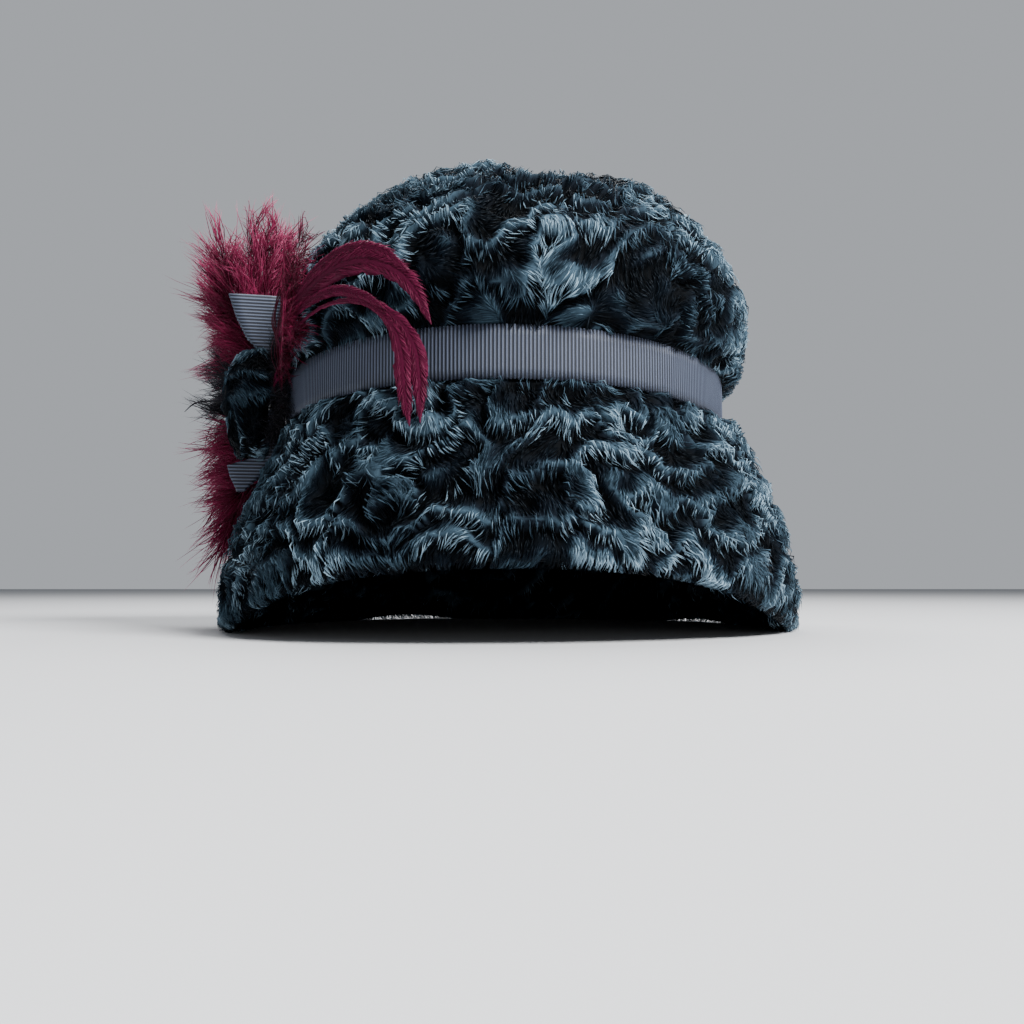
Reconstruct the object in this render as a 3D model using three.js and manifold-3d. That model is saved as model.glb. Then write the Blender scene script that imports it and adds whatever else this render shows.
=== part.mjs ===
import * as THREE from 'three';
import Module from 'manifold-3d';

// Cloche hat of curly fur cloth with a grosgrain band and a feather cockade.
// Millimetres, +Z up. The front of the hat faces -Y and the cockade is on its -X side.
// The hat lies on its brim: the sides and back of the edge touch the surface, the front is arched.

// Cloth
const HEAD_WIDTH = 166;
const HEAD_LENGTH = 198;
const CLOTH = 3;
const PILE = 4.5;
const CURL_DEPTH = 2.8;
const CURL_PITCH = 20;
const CURL_WAVE_COUNT = 11;
const CURL_SHARPNESS = 2.4;
const GAP = 0.3;

// Crown, measured up from the top edge of the band
const CROWN_RISE = 76;
const CROWN_LEAN = 8;
const TIP_SEAM = 84;
const CREASE_DEPTH = 8;
const CREASE_SPREAD = 14;
const CREASE_SIDE = 16;
const CREASE_START = 0.6;
const CREASE_FULL = 0.95;
const PILE_GROWTH = 6;
const PILE_OVERHANG = 1.5;

// Brim
const BRIM_HEIGHT = 76;
const BRIM_REACH = 22;
const FRONT_RISE = 28;
const EDGE_SQUASH = 3;
const TIP_SLOPE = 0.06;
const EDGE_ROLL = 0.22;
const EDGE_BLUNTNESS = 0.2;

// Band and cockade
const BAND_WIDTH = 17;
const BAND_THICKNESS = 1.1;
const BAND_LAP = 2.5;
const COCKADE_AZIMUTH = THREE.MathUtils.degToRad(-75);
const BACKING_RADIUS = 12;
const BACKING_THICKNESS = 2.4;
const RIBBON_WIDTH = 19;
const RIBBON_THICKNESS = 1;
const ROOT_GATHER = 0.18;
const LOOP_HEIGHT = 41;
const LOOP_PLACE = 7.5;
const TAIL_DEPTH = 33;
const TAIL_PLACE = 4.5;
const FOLD_OPEN = 3.4;
const BUTTON_RADIUS = 21;
const BUTTON_HEIGHT = 15;
const BUTTON_CURLS = 1.1;
const PRESS_SPREAD = 1.6;
const BRIM_PRESS = 0.6;
const PLUME_LENGTH = 66;
const LOCK_WIDTH = 9;
const LOCK_ROOM = 1;
const TUFT_LENGTH = 34;
const TUFT_WIDTH = 5;
const STRAND_LENGTH = 62;
const STRAND_WIDTH = 2.4;
const HACKLE_WIDTH = 11;
const HACKLE_THICKNESS = 1;
const HACKLE_CUP = 0.2;
const QUILL_MARGIN = 2;

// Meshing
const COLUMNS = 80;
const LINING_COLUMNS = 40;
const SIDE_ROWS = 11;
const SIDE_LINING_ROWS = 6;
const TIP_ROWS = 8;
const FUR_LINE_STEPS = 24;
const PLATE_SIDES = 16;
const BUTTON_SIDES = 22;
const LOCK_SIDES = 5;
const BINDING_SIDES = 6;

// Rows of the crown's outline: height as a share of CROWN_RISE, girth as a share of the head oval
const CROWN_SECTIONS = [
  { up: 0.00, girth: 1.00 },
  { up: 0.08, girth: 1.01 },
  { up: 0.22, girth: 1.03 },
  { up: 0.38, girth: 1.01 },
  { up: 0.55, girth: 0.93 },
  { up: 0.72, girth: 0.80 },
  { up: 0.86, girth: 0.63 },
  { up: 0.95, girth: 0.43 },
  { up: 0.99, girth: 0.21 },
  { up: 1.00, girth: 0.00 },
];

// Rows of the brim's edge every 30 degrees from the back, by way of the left side:
// reach as a share of BRIM_REACH, rise as a share of FRONT_RISE, belly as a share of the reach
const BRIM_EDGE = [
  { azimuth: -180, reach: 0.86, rise: 0.00, belly: 0.80 },
  { azimuth: -150, reach: 0.96, rise: 0.20, belly: 0.85 },
  { azimuth: -120, reach: 0.98, rise: 0.00, belly: 0.80 },
  { azimuth: -90, reach: 0.92, rise: 0.00, belly: 0.70 },
  { azimuth: -60, reach: 1.00, rise: 0.34, belly: 0.75 },
  { azimuth: -30, reach: 1.05, rise: 0.84, belly: 0.70 },
  { azimuth: 0, reach: 1.00, rise: 1.00, belly: 0.65 },
  { azimuth: 30, reach: 1.04, rise: 0.88, belly: 0.70 },
  { azimuth: 60, reach: 1.10, rise: 0.42, belly: 0.80 },
  { azimuth: 90, reach: 1.10, rise: 0.00, belly: 0.85 },
  { azimuth: 120, reach: 1.02, rise: 0.18, belly: 0.80 },
  { azimuth: 150, reach: 0.96, rise: 0.00, belly: 0.80 },
];

// Fans of marabou locks: angles in degrees from straight up towards the front, splay in degrees
// away from the hat, length as a share of PLUME_LENGTH, forward place of the fan's root
const PLUME_FANS = [
  { from: -58, to: -8, count: 6, length: 1.00, splay: -12, forward: -5 },
  { from: -52, to: -10, count: 5, length: 0.96, splay: 24, forward: -5 },
  { from: -48, to: -12, count: 4, length: 0.80, splay: 48, forward: -5 },
  { from: 29, to: 38, count: 2, length: 0.92, splay: -16, forward: 5 },
  { from: 196, to: 222, count: 3, length: 0.66, splay: 34, forward: -4 },
  { from: 228, to: 246, count: 2, length: 0.58, splay: 46, forward: -5 },
];
const TUFT_FANS = [
  { from: -86, to: -74, count: 3, length: 0.80, splay: 56, forward: -5 },
  { from: -98, to: -88, count: 2, length: 0.66, splay: 66, forward: -5 },
];

// Ribbon loops: height along the loop, and where the ribbon's two edges stand off the band,
// as shares of RIBBON_WIDTH; forward is the loop's place along the band
const LOOP_ROWS = [
  { up: 0.06, near: 0, far: ROOT_GATHER },
  { up: 0.55, near: 0, far: ROOT_GATHER },
  { up: 0.60, near: 0, far: 0.62 },
  { up: 0.80, near: 0, far: 0.84 },
  { up: 0.97, near: 0, far: 0.98 },
];
const TAIL_ROWS = [
  { up: 0.06, near: 0, far: ROOT_GATHER },
  { up: 0.67, near: 0.08, far: ROOT_GATHER },
  { up: 0.72, near: 0.14, far: 0.96 },
  { up: 0.85, near: 0.36, far: 0.90 },
  { up: 0.98, near: 0.60, far: 0.80 },
];

// The button's dome from its back to near its apex, as shares of its height and radius
const BUTTON_ROWS = [
  { out: 0.00, radius: 0.84 },
  { out: 0.18, radius: 1.00 },
  { out: 0.50, radius: 0.94 },
  { out: 0.78, radius: 0.74 },
  { out: 0.94, radius: 0.44 },
];

// Stations of a lock past the button's rim, as shares of its free length
const LOCK_STATIONS = [0.34, 0.68, 1];

// The bare curved strand of the tuft, as shares of STRAND_LENGTH: backward, outward and up
const STRAND_ROWS = [
  { back: 0.00, out: 0.00, up: 0.00 },
  { back: 0.24, out: 0.01, up: 0.03 },
  { back: 0.40, out: 0.20, up: 0.09 },
  { back: 0.49, out: 0.48, up: 0.10 },
  { back: 0.50, out: 0.58, up: 0.03 },
];

// Hackle feathers by the azimuth of each station and its height above the middle of the band,
// as a share of BAND_WIDTH; blade is the share of HACKLE_WIDTH there
const HACKLE_UPPER = [
  { azimuth: -57, up: 1.20, blade: 0.45 },
  { azimuth: -47, up: 1.60, blade: 0.80 },
  { azimuth: -37, up: 1.80, blade: 1.00 },
  { azimuth: -27, up: 1.60, blade: 1.00 },
  { azimuth: -19, up: 1.10, blade: 0.70 },
  { azimuth: -13, up: 0.35, blade: 0.00 },
];
const HACKLE_LOWER = [
  { azimuth: -57, up: 0.45, blade: 0.45 },
  { azimuth: -46, up: 0.85, blade: 0.75 },
  { azimuth: -35, up: 0.95, blade: 0.95 },
  { azimuth: -25, up: 0.60, blade: 1.00 },
  { azimuth: -18, up: -0.05, blade: 1.00 },
  { azimuth: -15, up: -0.80, blade: 0.80 },
  { azimuth: -15, up: -1.60, blade: 0.00 },
];
const HACKLE_FORK = [
  { azimuth: -25, up: 0.60, blade: 0.70 },
  { azimuth: -17, up: 0.00, blade: 0.80 },
  { azimuth: -12, up: -0.75, blade: 0.60 },
  { azimuth: -10, up: -1.45, blade: 0.00 },
];

const wasm = await Module();
wasm.setup();

const FUR = new THREE.MeshStandardMaterial({ name: 'curly_fur', color: 0x151c26, roughness: 0.85 });
const RIBBON = new THREE.MeshStandardMaterial({ name: 'grosgrain', color: 0x4a4f61, roughness: 0.7 });
const BURGUNDY = new THREE.MeshStandardMaterial({ name: 'burgundy_feather', color: 0x5a1028, roughness: 0.8 });
const BLACK = new THREE.MeshStandardMaterial({ name: 'black_feather', color: 0x15151a, roughness: 0.75 });

const OUTER_WIDTH = HEAD_WIDTH / 2 + CLOTH;
const OUTER_LENGTH = HEAD_LENGTH / 2 + CLOTH;

// Numbers and vectors

function smooth(value, low, high) {
  return THREE.MathUtils.smoothstep(value, low, high);
}

// Closed Catmull-Rom line through one column of a table whose rows are evenly spaced in azimuth.
function around(rows, column, azimuth) {
  const count = rows.length;
  const turn = THREE.MathUtils.euclideanModulo(azimuth / (2 * Math.PI) + 0.5, 1) * count;
  const row = Math.floor(turn);
  const t = turn - row;
  const [a, b, c, d] = [-1, 0, 1, 2].map((step) => rows[(row + step + count) % count][column]);
  return b + 0.5 * t * (c - a + t * (2 * a - 5 * b + 4 * c - d + t * (3 * (b - c) + d - a)));
}

function oval(azimuth, outward, height = 0) {
  const x = (OUTER_WIDTH + outward) * Math.sin(azimuth);
  const y = -(OUTER_LENGTH + outward) * Math.cos(azimuth);
  return new THREE.Vector3(x, y, height);
}

// Height of the band's lower edge: the hat lies tipped back a little, so it is higher in front.
function bandFoot(y) {
  return BRIM_HEIGHT - TIP_SLOPE * y;
}

// Curls: plane waves in many directions make a field of round and worm-like lumps.
const GOLDEN_ANGLE = Math.PI * (3 - Math.sqrt(5));
const PHASE_STEP = 1.7;
const CURL_WAVES = Array.from({ length: CURL_WAVE_COUNT }, (_, i) => {
  const z = 1 - (2 * i + 1) / CURL_WAVE_COUNT;
  const turn = i * GOLDEN_ANGLE;
  const ring = Math.sqrt(1 - z * z);
  const direction = new THREE.Vector3(ring * Math.cos(turn), ring * Math.sin(turn), z);
  return { direction, phase: i * i * PHASE_STEP };
});

function curl(point) {
  const wave = (2 * Math.PI) / CURL_PITCH;
  const sum = CURL_WAVES.reduce((s, w) => s + Math.cos(wave * w.direction.dot(point) + w.phase), 0);
  return Math.tanh(sum / CURL_SHARPNESS);
}

// Point on a surface moved along its outward normal, which may be taken at a place nearby.
function lifted(surface, azimuth, along, height, normalAt = along) {
  const turn = 0.01;
  const step = 0.5;
  const east = surface(azimuth + turn, normalAt).sub(surface(azimuth - turn, normalAt));
  const north = surface(azimuth, normalAt + step).sub(surface(azimuth, normalAt - step));
  const normal = east.cross(north).normalize();
  return surface(azimuth, along).addScaledVector(normal, height);
}

// Closed meshes

// Triangles between two closed rings of any number of points; a ring of one point is a pole.
// Where both could step on, the finer ring does, so facing rims are cut the same way.
function bridge(lower, upper, triangles) {
  let i = 0;
  let j = 0;
  const iEnd = lower.length > 1 ? lower.length : 0;
  const jEnd = upper.length > 1 ? upper.length : 0;
  while (i < iEnd || j < jEnd) {
    const a = lower[i % lower.length];
    const b = upper[j % upper.length];
    const lead = (j + 1) * lower.length - (i + 1) * upper.length;
    const lowerSteps = lead > 0 || (lead === 0 && lower.length >= upper.length);
    if (j >= jEnd || (i < iEnd && lowerSteps)) {
      i += 1;
      triangles.push([a, lower[i % lower.length], b]);
    } else {
      j += 1;
      triangles.push([a, upper[j % upper.length], b]);
    }
  }
}

// One closed body from a list of rings; where looped, the last ring joins the first.
function bodyOf(rings, looped) {
  const points = [];
  const numbered = rings.map((ring) => ring.map((point) => points.push(point) - 1));
  const triangles = [];
  for (let k = 0; k + 1 < numbered.length; k += 1) bridge(numbered[k], numbered[k + 1], triangles);
  if (looped) bridge(numbered[numbered.length - 1], numbered[0], triangles);
  const volume = triangles.reduce((sum, [a, b, c]) => {
    return sum + points[a].dot(points[b].clone().cross(points[c]));
  }, 0);
  if (volume < 0) triangles.forEach((t) => t.reverse());
  const geometry = new THREE.BufferGeometry().setFromPoints(points);
  geometry.setIndex(triangles.flat());
  return geometry;
}

function solidOf(geometry) {
  const vertProperties = new Float32Array(geometry.attributes.position.array);
  const triVerts = new Uint32Array(geometry.index.array);
  return new wasm.Manifold(new wasm.Mesh({ numProp: 3, vertProperties, triVerts }));
}

// Closed bodies joined into one.
function fused(geometries) {
  const whole = geometries.map(solidOf).reduce((sum, solid) => sum.add(solid));
  const mesh = whole.getMesh();
  const geometry = new THREE.BufferGeometry();
  geometry.setAttribute('position', new THREE.BufferAttribute(mesh.vertProperties, 3));
  geometry.setIndex(new THREE.BufferAttribute(mesh.triVerts, 1));
  return geometry;
}

function piece(name, geometry, material) {
  geometry.computeVertexNormals();
  const mesh = new THREE.Mesh(geometry, material);
  mesh.name = name;
  return mesh;
}

function ringOf(columns, pointAt) {
  return Array.from({ length: columns }, (_, i) => pointAt((2 * Math.PI * i) / columns - Math.PI));
}

function steps(from, to, count) {
  return Array.from({ length: count + 1 }, (_, i) => THREE.MathUtils.lerp(from, to, i / count));
}

// Cockade frame: outward from the band, forward along it, and up

const bandMiddle = oval(COCKADE_AZIMUTH, BAND_THICKNESS + GAP);
bandMiddle.z = bandFoot(bandMiddle.y) + BAND_WIDTH / 2;
const OUTWARD = new THREE.Vector3(
  Math.sin(COCKADE_AZIMUTH) / OUTER_WIDTH, -Math.cos(COCKADE_AZIMUTH) / OUTER_LENGTH, 0).normalize();
const UP = new THREE.Vector3(0, 0, 1);
const FORWARD = UP.clone().cross(OUTWARD);

function fromCockade(out, forward, up) {
  return bandMiddle.clone()
    .addScaledVector(OUTWARD, out)
    .addScaledVector(FORWARD, forward)
    .addScaledVector(UP, up);
}

// The pile is pressed flat under the cockade, and the crown does not bulge there.
function unpressed(point) {
  const reach = PRESS_SPREAD * BUTTON_RADIUS;
  return 1 - Math.exp(-point.distanceToSquared(bandMiddle) / (reach * reach));
}

// Crown

const crownRadius = (OUTER_WIDTH + OUTER_LENGTH) / 2;
const crownLine = new THREE.SplineCurve(CROWN_SECTIONS.map(({ up, girth }) => {
  return new THREE.Vector2(girth * crownRadius, up * CROWN_RISE);
}));
const crownLength = crownLine.getLength();

// Cloth of the crown without its pile, by the distance along its outline from the band's top edge.
function crownCloth(azimuth, along) {
  const section = crownLine.getPointAt(THREE.MathUtils.clamp(along / crownLength, 0, 1));
  const rise = along < 0 ? along : section.y;
  const straight = oval(azimuth, 0);
  straight.z = bandFoot(straight.y) + BAND_WIDTH + rise;
  const bulge = section.x / crownRadius;
  const girth = bulge > 1 ? 1 + (bulge - 1) * unpressed(straight) : bulge;
  const up = Math.max(rise / CROWN_RISE, 0);
  const point = new THREE.Vector3(straight.x * girth, straight.y * girth, 0);
  const fromCrease = (point.x + CROWN_LEAN * up - CREASE_SIDE) / CREASE_SPREAD;
  const crease = CREASE_DEPTH * Math.exp(-fromCrease * fromCrease) * smooth(up, CREASE_START, CREASE_FULL);
  point.x += CROWN_LEAN * up;
  point.z = bandFoot(point.y) + BAND_WIDTH + rise - crease;
  return point;
}

function crownPile(azimuth, along, normalAt = along) {
  const cloth = crownCloth(azimuth, along);
  const grown = smooth(along, 0, PILE_GROWTH) * unpressed(cloth);
  return lifted(crownCloth, azimuth, along, grown * (PILE + CURL_DEPTH * curl(cloth)), normalAt);
}

// Rings of the crown's outer and inner face; those at the tip's seam share its normals.
function crownRings(rows, columnsAt, pointAt) {
  const nearSeam = (along) => Math.abs(along - TIP_SEAM) < GAP;
  return rows.map((along, row) => ringOf(columnsAt(row), (azimuth) => {
    return pointAt(azimuth, along, nearSeam(along) ? TIP_SEAM : along);
  }));
}

function crownInside(azimuth, along, normalAt) {
  return lifted(crownCloth, azimuth, along, -CLOTH, normalAt);
}

function crownSide() {
  const foot = BAND_LAP + GAP - BAND_WIDTH;
  const seam = TIP_SEAM - GAP / 2;
  const outside = crownRings([foot, 0, ...steps(PILE_GROWTH, seam, SIDE_ROWS)], () => COLUMNS, crownPile);
  const inside = crownRings(steps(seam, foot, SIDE_LINING_ROWS), () => LINING_COLUMNS, crownInside);
  return piece('crown_side', bodyOf([...outside, ...inside], true), FUR);
}

function crownTip() {
  const rows = steps(TIP_SEAM + GAP / 2, crownLength, TIP_ROWS).slice(0, -1);
  const everySecond = rows.filter((_, row) => row % 2 === 0);
  const thinning = (columns, count) => (row) => Math.round(columns * (1 - row / count)) + 2;
  const outside = crownRings(rows, thinning(COLUMNS - 2, rows.length), crownPile);
  const inside = crownRings(everySecond, thinning(LINING_COLUMNS - 2, everySecond.length), crownInside);
  const top = crownCloth(0, crownLength);
  const summit = top.clone().addScaledVector(UP, PILE + CURL_DEPTH * curl(top));
  const ceiling = top.clone().addScaledVector(UP, -CLOTH);
  const rings = [...outside, [summit], [ceiling], ...inside.reverse()];
  return piece('crown_tip', bodyOf(rings, true), FUR);
}

// Brim

// Straight top of the brim under the band, which reaches a little below it.
const BRIM_WALL = BAND_LAP + 3 * GAP;

// Middle between the two layers of the brim, by the distance below its seam under the band.
// It hangs straight under the band, then swells outward and drops to its edge.
function brimMiddle(azimuth, along) {
  const below = -along - BRIM_WALL;
  const t = Math.max(below / (BRIM_HEIGHT - BRIM_WALL), 0);
  const seam = oval(azimuth, -CLOTH / 2);
  const foot = bandFoot(seam.y) + BAND_LAP - BRIM_WALL;
  seam.z = foot - Math.max(below, 0);
  const reach = BRIM_REACH * around(BRIM_EDGE, 'reach', azimuth);
  const belly = reach * around(BRIM_EDGE, 'belly', azimuth);
  const pressed = 1 - BRIM_PRESS * (1 - unpressed(seam));
  const out = (2 * t * (1 - t) * belly + t * t * reach) * pressed;
  const edge = FRONT_RISE * around(BRIM_EDGE, 'rise', azimuth) - EDGE_SQUASH;
  const height = below > 0 ? THREE.MathUtils.lerp(foot, edge, t) : foot - below;
  return oval(azimuth, out - CLOTH / 2, height);
}

// Thickness of one layer of the brim: thin under the band, full in the pile, rolled at the edge.
function brimThickness(azimuth, along) {
  const cloth = (CLOTH - GAP) / 2;
  const middle = brimMiddle(azimuth, along);
  const grown = smooth(-along, BRIM_WALL, BRIM_WALL + PILE_GROWTH) * unpressed(middle);
  const toEdge = Math.max((-along / BRIM_HEIGHT - 1 + EDGE_ROLL) / EDGE_ROLL, 0);
  const roll = Math.max(Math.sqrt(Math.max(1 - toEdge * toEdge, 0)), EDGE_BLUNTNESS);
  return { cloth, pile: grown * roll * PILE, curls: grown * roll * CURL_DEPTH, middle };
}

function brimFace(azimuth, along, side) {
  const { cloth, pile, curls, middle } = brimThickness(azimuth, along);
  const shifted = middle.clone().addScaledVector(UP, side * CURL_PITCH);
  const height = GAP / 2 + cloth + pile + curls * curl(shifted);
  return onFloor(lifted(brimMiddle, azimuth, along, side * height));
}

// Cloth that would reach below the surface lies flat on it.
function onFloor(point) {
  point.z = Math.max(point.z, 0);
  return point;
}

const BRIM_ROWS = [
  0, -BRIM_WALL,
  ...steps(-BRIM_WALL - PILE_GROWTH, -(1 - EDGE_ROLL) * BRIM_HEIGHT, 4),
  ...steps(-(1 - EDGE_ROLL) * BRIM_HEIGHT, -BRIM_HEIGHT, 3).slice(1),
];
const BRIM_SEAM_ROWS = [0, ...steps(-BRIM_WALL, -BRIM_HEIGHT, 4)];

function brimLayer(name, side) {
  const face = BRIM_ROWS.map((along) => ringOf(COLUMNS, (a) => brimFace(a, along, side)));
  const seam = BRIM_SEAM_ROWS.map((along) => ringOf(LINING_COLUMNS, (a) => {
    return onFloor(lifted(brimMiddle, a, along, (side * GAP) / 2));
  }));
  return piece(name, bodyOf([...face, ...seam.reverse()], true), FUR);
}

// Band

function hatBand() {
  const heights = [0, BAND_WIDTH / 2, BAND_WIDTH];
  const wall = (outward, height) => ringOf(COLUMNS, (a) => {
    const point = oval(a, outward);
    point.z = bandFoot(point.y) + height;
    return point;
  });
  const outside = heights.map((height) => wall(GAP + BAND_THICKNESS, height));
  const inside = [wall(GAP, BAND_WIDTH), wall(GAP, 0)];
  return piece('hat_band', bodyOf([...outside, ...inside], true), RIBBON);
}

// Outermost surface of the fur at a height, as the distance outward from the head oval.
function furReach(azimuth, height) {
  const deepest = PILE + CURL_DEPTH;
  const brim = steps(0, -BRIM_HEIGHT, FUR_LINE_STEPS).map((along) => brimMiddle(azimuth, along));
  const crown = steps(0, crownLength, FUR_LINE_STEPS).slice(0, -1).map((along) => crownCloth(azimuth, along));
  const line = [...brim.reverse(), ...crown];
  const next = line.findIndex((point) => point.z > height);
  if (next < 0) return -OUTER_WIDTH;
  const at = line[next];
  const lean = CROWN_LEAN * Math.max((at.z - bandFoot(at.y) - BAND_WIDTH) / CROWN_RISE, 0);
  const share = Math.hypot((at.x - lean) / OUTER_WIDTH, at.y / OUTER_LENGTH) - 1;
  const nearBand = Math.abs(height - bandFoot(at.y) - BAND_WIDTH / 2) - BAND_WIDTH / 2;
  return share * OUTER_WIDTH + deepest * smooth(nearBand, -PILE_OVERHANG, PILE_GROWTH) + CLOTH / 2;
}

// A point moved straight outward until it clears the fur by a margin.
function clearOfFur(point, margin) {
  const azimuth = Math.atan2(point.x / OUTER_WIDTH, -point.y / OUTER_LENGTH);
  const outward = (Math.hypot(point.x / OUTER_WIDTH, point.y / OUTER_LENGTH) - 1) * OUTER_WIDTH;
  const short = furReach(azimuth, point.z) + margin - outward;
  if (short <= 0) return point;
  const scale = 1 + short / (outward + OUTER_WIDTH);
  return new THREE.Vector3(point.x * scale, point.y * scale, point.z);
}

// Feathers

// Rounded tapering rod along a path, from a blunt root to a point.
function lock(path, shares, width, sides) {
  const rings = shares.map((share, k) => {
    const tangent = path[k + 1].clone().sub(path[Math.max(k - 1, 0)]).normalize();
    const across = tangent.clone().cross(OUTWARD).normalize();
    const over = across.clone().cross(tangent);
    const radius = (share * width) / 2;
    return Array.from({ length: sides }, (_, i) => {
      const turn = (2 * Math.PI * i) / sides;
      return path[k].clone()
        .addScaledVector(across, radius * Math.cos(turn))
        .addScaledVector(over, radius * Math.sin(turn));
    });
  });
  return bodyOf([[path[0]], ...rings, [path[path.length - 1]]], false);
}

// Locks that pass under the button's rim, then leave the cockade in fans and bow outward.
function fansOf(fans, layer, length, width) {
  const rim = BUTTON_RADIUS + BUTTON_CURLS + 0.5 * layer.neck * width + GAP;
  const [straightening, bow, droop, unevenness] = [0.3, 0.06, 0.05, 0.09];
  return fans.flatMap((fan, row) => steps(fan.from, fan.to, fan.count - 1).map((degrees, i) => {
    const angle = THREE.MathUtils.degToRad(degrees);
    const splay = THREE.MathUtils.degToRad(fan.splay);
    const reach = length * fan.length * (1 - unevenness * ((i + row) % 3));
    const at = (out, run) => fromCockade(out, fan.forward + run * Math.sin(angle), run * Math.cos(angle));
    const free = LOCK_STATIONS.map((s) => {
      const lean = splay * (1 - straightening * s);
      const out = layer.out + reach * s * Math.sin(lean) + bow * reach * Math.sin(Math.PI * s);
      const point = at(out, rim + reach * s * Math.cos(lean));
      point.z -= droop * reach * s * s;
      return clearOfFur(point, 0.5 * width + LOCK_ROOM);
    });
    const path = [at(layer.root, layer.start), at(layer.out, rim), ...free];
    return lock(path, [layer.neck, layer.neck, 1, 0.8], width, LOCK_SIDES);
  }));
}

// Round plate that the feathers are glued to.
function backingPlate(near, far) {
  const edge = (out) => Array.from({ length: PLATE_SIDES }, (_, i) => {
    const turn = (2 * Math.PI * i) / PLATE_SIDES;
    return fromCockade(out, BACKING_RADIUS * Math.cos(turn), BACKING_RADIUS * Math.sin(turn));
  });
  return bodyOf([[fromCockade(near, 0, 0)], edge(near), edge(far), [fromCockade(far, 0, 0)]], false);
}

// Layers of the cockade by their distance out from the band: the backing's face, what lies on it,
// and the button, whose back rests on the gathered roots of the ribbon loops.
const BACKING_FACE = GAP + BACKING_THICKNESS;
const LAYER = BACKING_FACE + GAP;
const BUTTON_BACK = LAYER + ROOT_GATHER * RIBBON_WIDTH + 2 * GAP;

function plume() {
  const neck = 0.26;
  const out = LAYER + 0.5 * neck * LOCK_WIDTH;
  const layer = { root: GAP + BACKING_THICKNESS / 2, out, start: 0.4 * BACKING_RADIUS, neck };
  const locks = fansOf(PLUME_FANS, layer, PLUME_LENGTH, LOCK_WIDTH);
  return piece('plume', fused([backingPlate(GAP, BACKING_FACE), ...locks]), BURGUNDY);
}

function blackTuft() {
  const middle = (LAYER + BUTTON_BACK) / 2;
  const layer = { root: middle, out: middle, start: BACKING_RADIUS / 3, neck: 0.44 };
  const locks = fansOf(TUFT_FANS, layer, TUFT_LENGTH, TUFT_WIDTH);
  const above = 1;
  const binding = steps(BACKING_RADIUS / 4, 0.8 * BUTTON_RADIUS, 4).map((run) => {
    return fromCockade(middle, -run, above);
  });
  const strand = STRAND_ROWS.map(({ back, out, up }) => fromCockade(
    middle + out * STRAND_LENGTH, -BACKING_RADIUS / 2 - back * STRAND_LENGTH, above + up * STRAND_LENGTH));
  const bodies = [
    lock(binding, [1, 1, 1, 1], BUTTON_BACK - LAYER - 2 * GAP, BINDING_SIDES),
    ...locks,
    lock(strand, [0.6, 1, 1, 0.8], STRAND_WIDTH, LOCK_SIDES),
  ];
  return piece('black_tuft', fused(bodies), BLACK);
}

// Folded ribbon whose two layers lie one behind the other, opening a little at the fold.
function ribbonLoop(name, rows, place, height) {
  const closed = RIBBON_THICKNESS + 2 * GAP;
  const half = (share) => 0.5 * THREE.MathUtils.lerp(closed, FOLD_OPEN, smooth(share, 0.1, 0.8));
  const frontLayer = rows.map((row) => ({ ...row, forward: half(row.up), turn: 0 }));
  const backLayer = rows.map((row) => ({ ...row, forward: -half(row.up), turn: Math.PI })).reverse();
  const fold = { ...rows[rows.length - 1], up: 1, forward: 0, turn: Math.PI / 2 };
  const rings = [...frontLayer, fold, ...backLayer].map(({ up, near, far, forward, turn }) => {
    const corner = (share, side) => fromCockade(
      LAYER + share * RIBBON_WIDTH,
      place + forward + side * 0.5 * RIBBON_THICKNESS * Math.cos(turn),
      height * up + side * 0.5 * RIBBON_THICKNESS * Math.sin(turn) * Math.sign(height));
    return [corner(near, -1), corner(far, -1), corner(far, 1), corner(near, 1)];
  });
  const middleOf = (ring) => [ring[0].clone().lerp(ring[2], 0.5)];
  return piece(name, bodyOf([middleOf(rings[0]), ...rings, middleOf(rings[rings.length - 1])], false), RIBBON);
}

// Domed button covered in the fur cloth.
function furButton() {
  const rings = BUTTON_ROWS.map(({ out, radius }) => Array.from({ length: BUTTON_SIDES }, (_, i) => {
    const turn = (2 * Math.PI * i) / BUTTON_SIDES;
    const point = fromCockade(BUTTON_BACK + out * BUTTON_HEIGHT,
      radius * BUTTON_RADIUS * Math.cos(turn), radius * BUTTON_RADIUS * Math.sin(turn));
    const spoke = point.clone().sub(fromCockade(BUTTON_BACK, 0, 0)).normalize();
    return out > 0 ? point.addScaledVector(spoke, BUTTON_CURLS * curl(point)) : point;
  }));
  const back = [fromCockade(BUTTON_BACK, 0, 0)];
  const apex = [fromCockade(BUTTON_BACK + BUTTON_HEIGHT, 0, 0)];
  return piece('fur_button', bodyOf([back, ...rings, apex], false), FUR);
}

// Flat feather laid over the fur: quill under the button, then a blade by rows of azimuth and height.
function vane(rows, quill) {
  const stations = rows.map(({ azimuth, up, blade }) => {
    const a = THREE.MathUtils.degToRad(azimuth);
    const point = oval(a, 0);
    point.z = bandFoot(point.y) + BAND_WIDTH / 2 + up * BAND_WIDTH;
    return { point: clearOfFur(point, HACKLE_CUP * HACKLE_WIDTH + HACKLE_THICKNESS), blade };
  });
  const line = [...quill, ...stations];
  const rings = line.slice(0, -1).map(({ point, blade }, k) => {
    const along = line[k + 1].point.clone().sub(line[Math.max(k - 1, 0)].point).normalize();
    const off = new THREE.Vector3(point.x / OUTER_WIDTH, point.y / OUTER_LENGTH, 0).normalize();
    const over = off.sub(along.clone().multiplyScalar(off.dot(along))).normalize();
    const across = along.clone().cross(over);
    const wide = 0.5 * blade * HACKLE_WIDTH;
    const thick = 0.5 * HACKLE_THICKNESS;
    return [[wide, -thick], [wide, 0], [0, thick], [-wide, 0], [-wide, -thick]].map(([w, t]) => {
      return point.clone().addScaledVector(across, w).addScaledVector(over, t);
    });
  });
  return bodyOf([[line[0].point], ...rings, [line[line.length - 1].point]], false);
}

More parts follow.
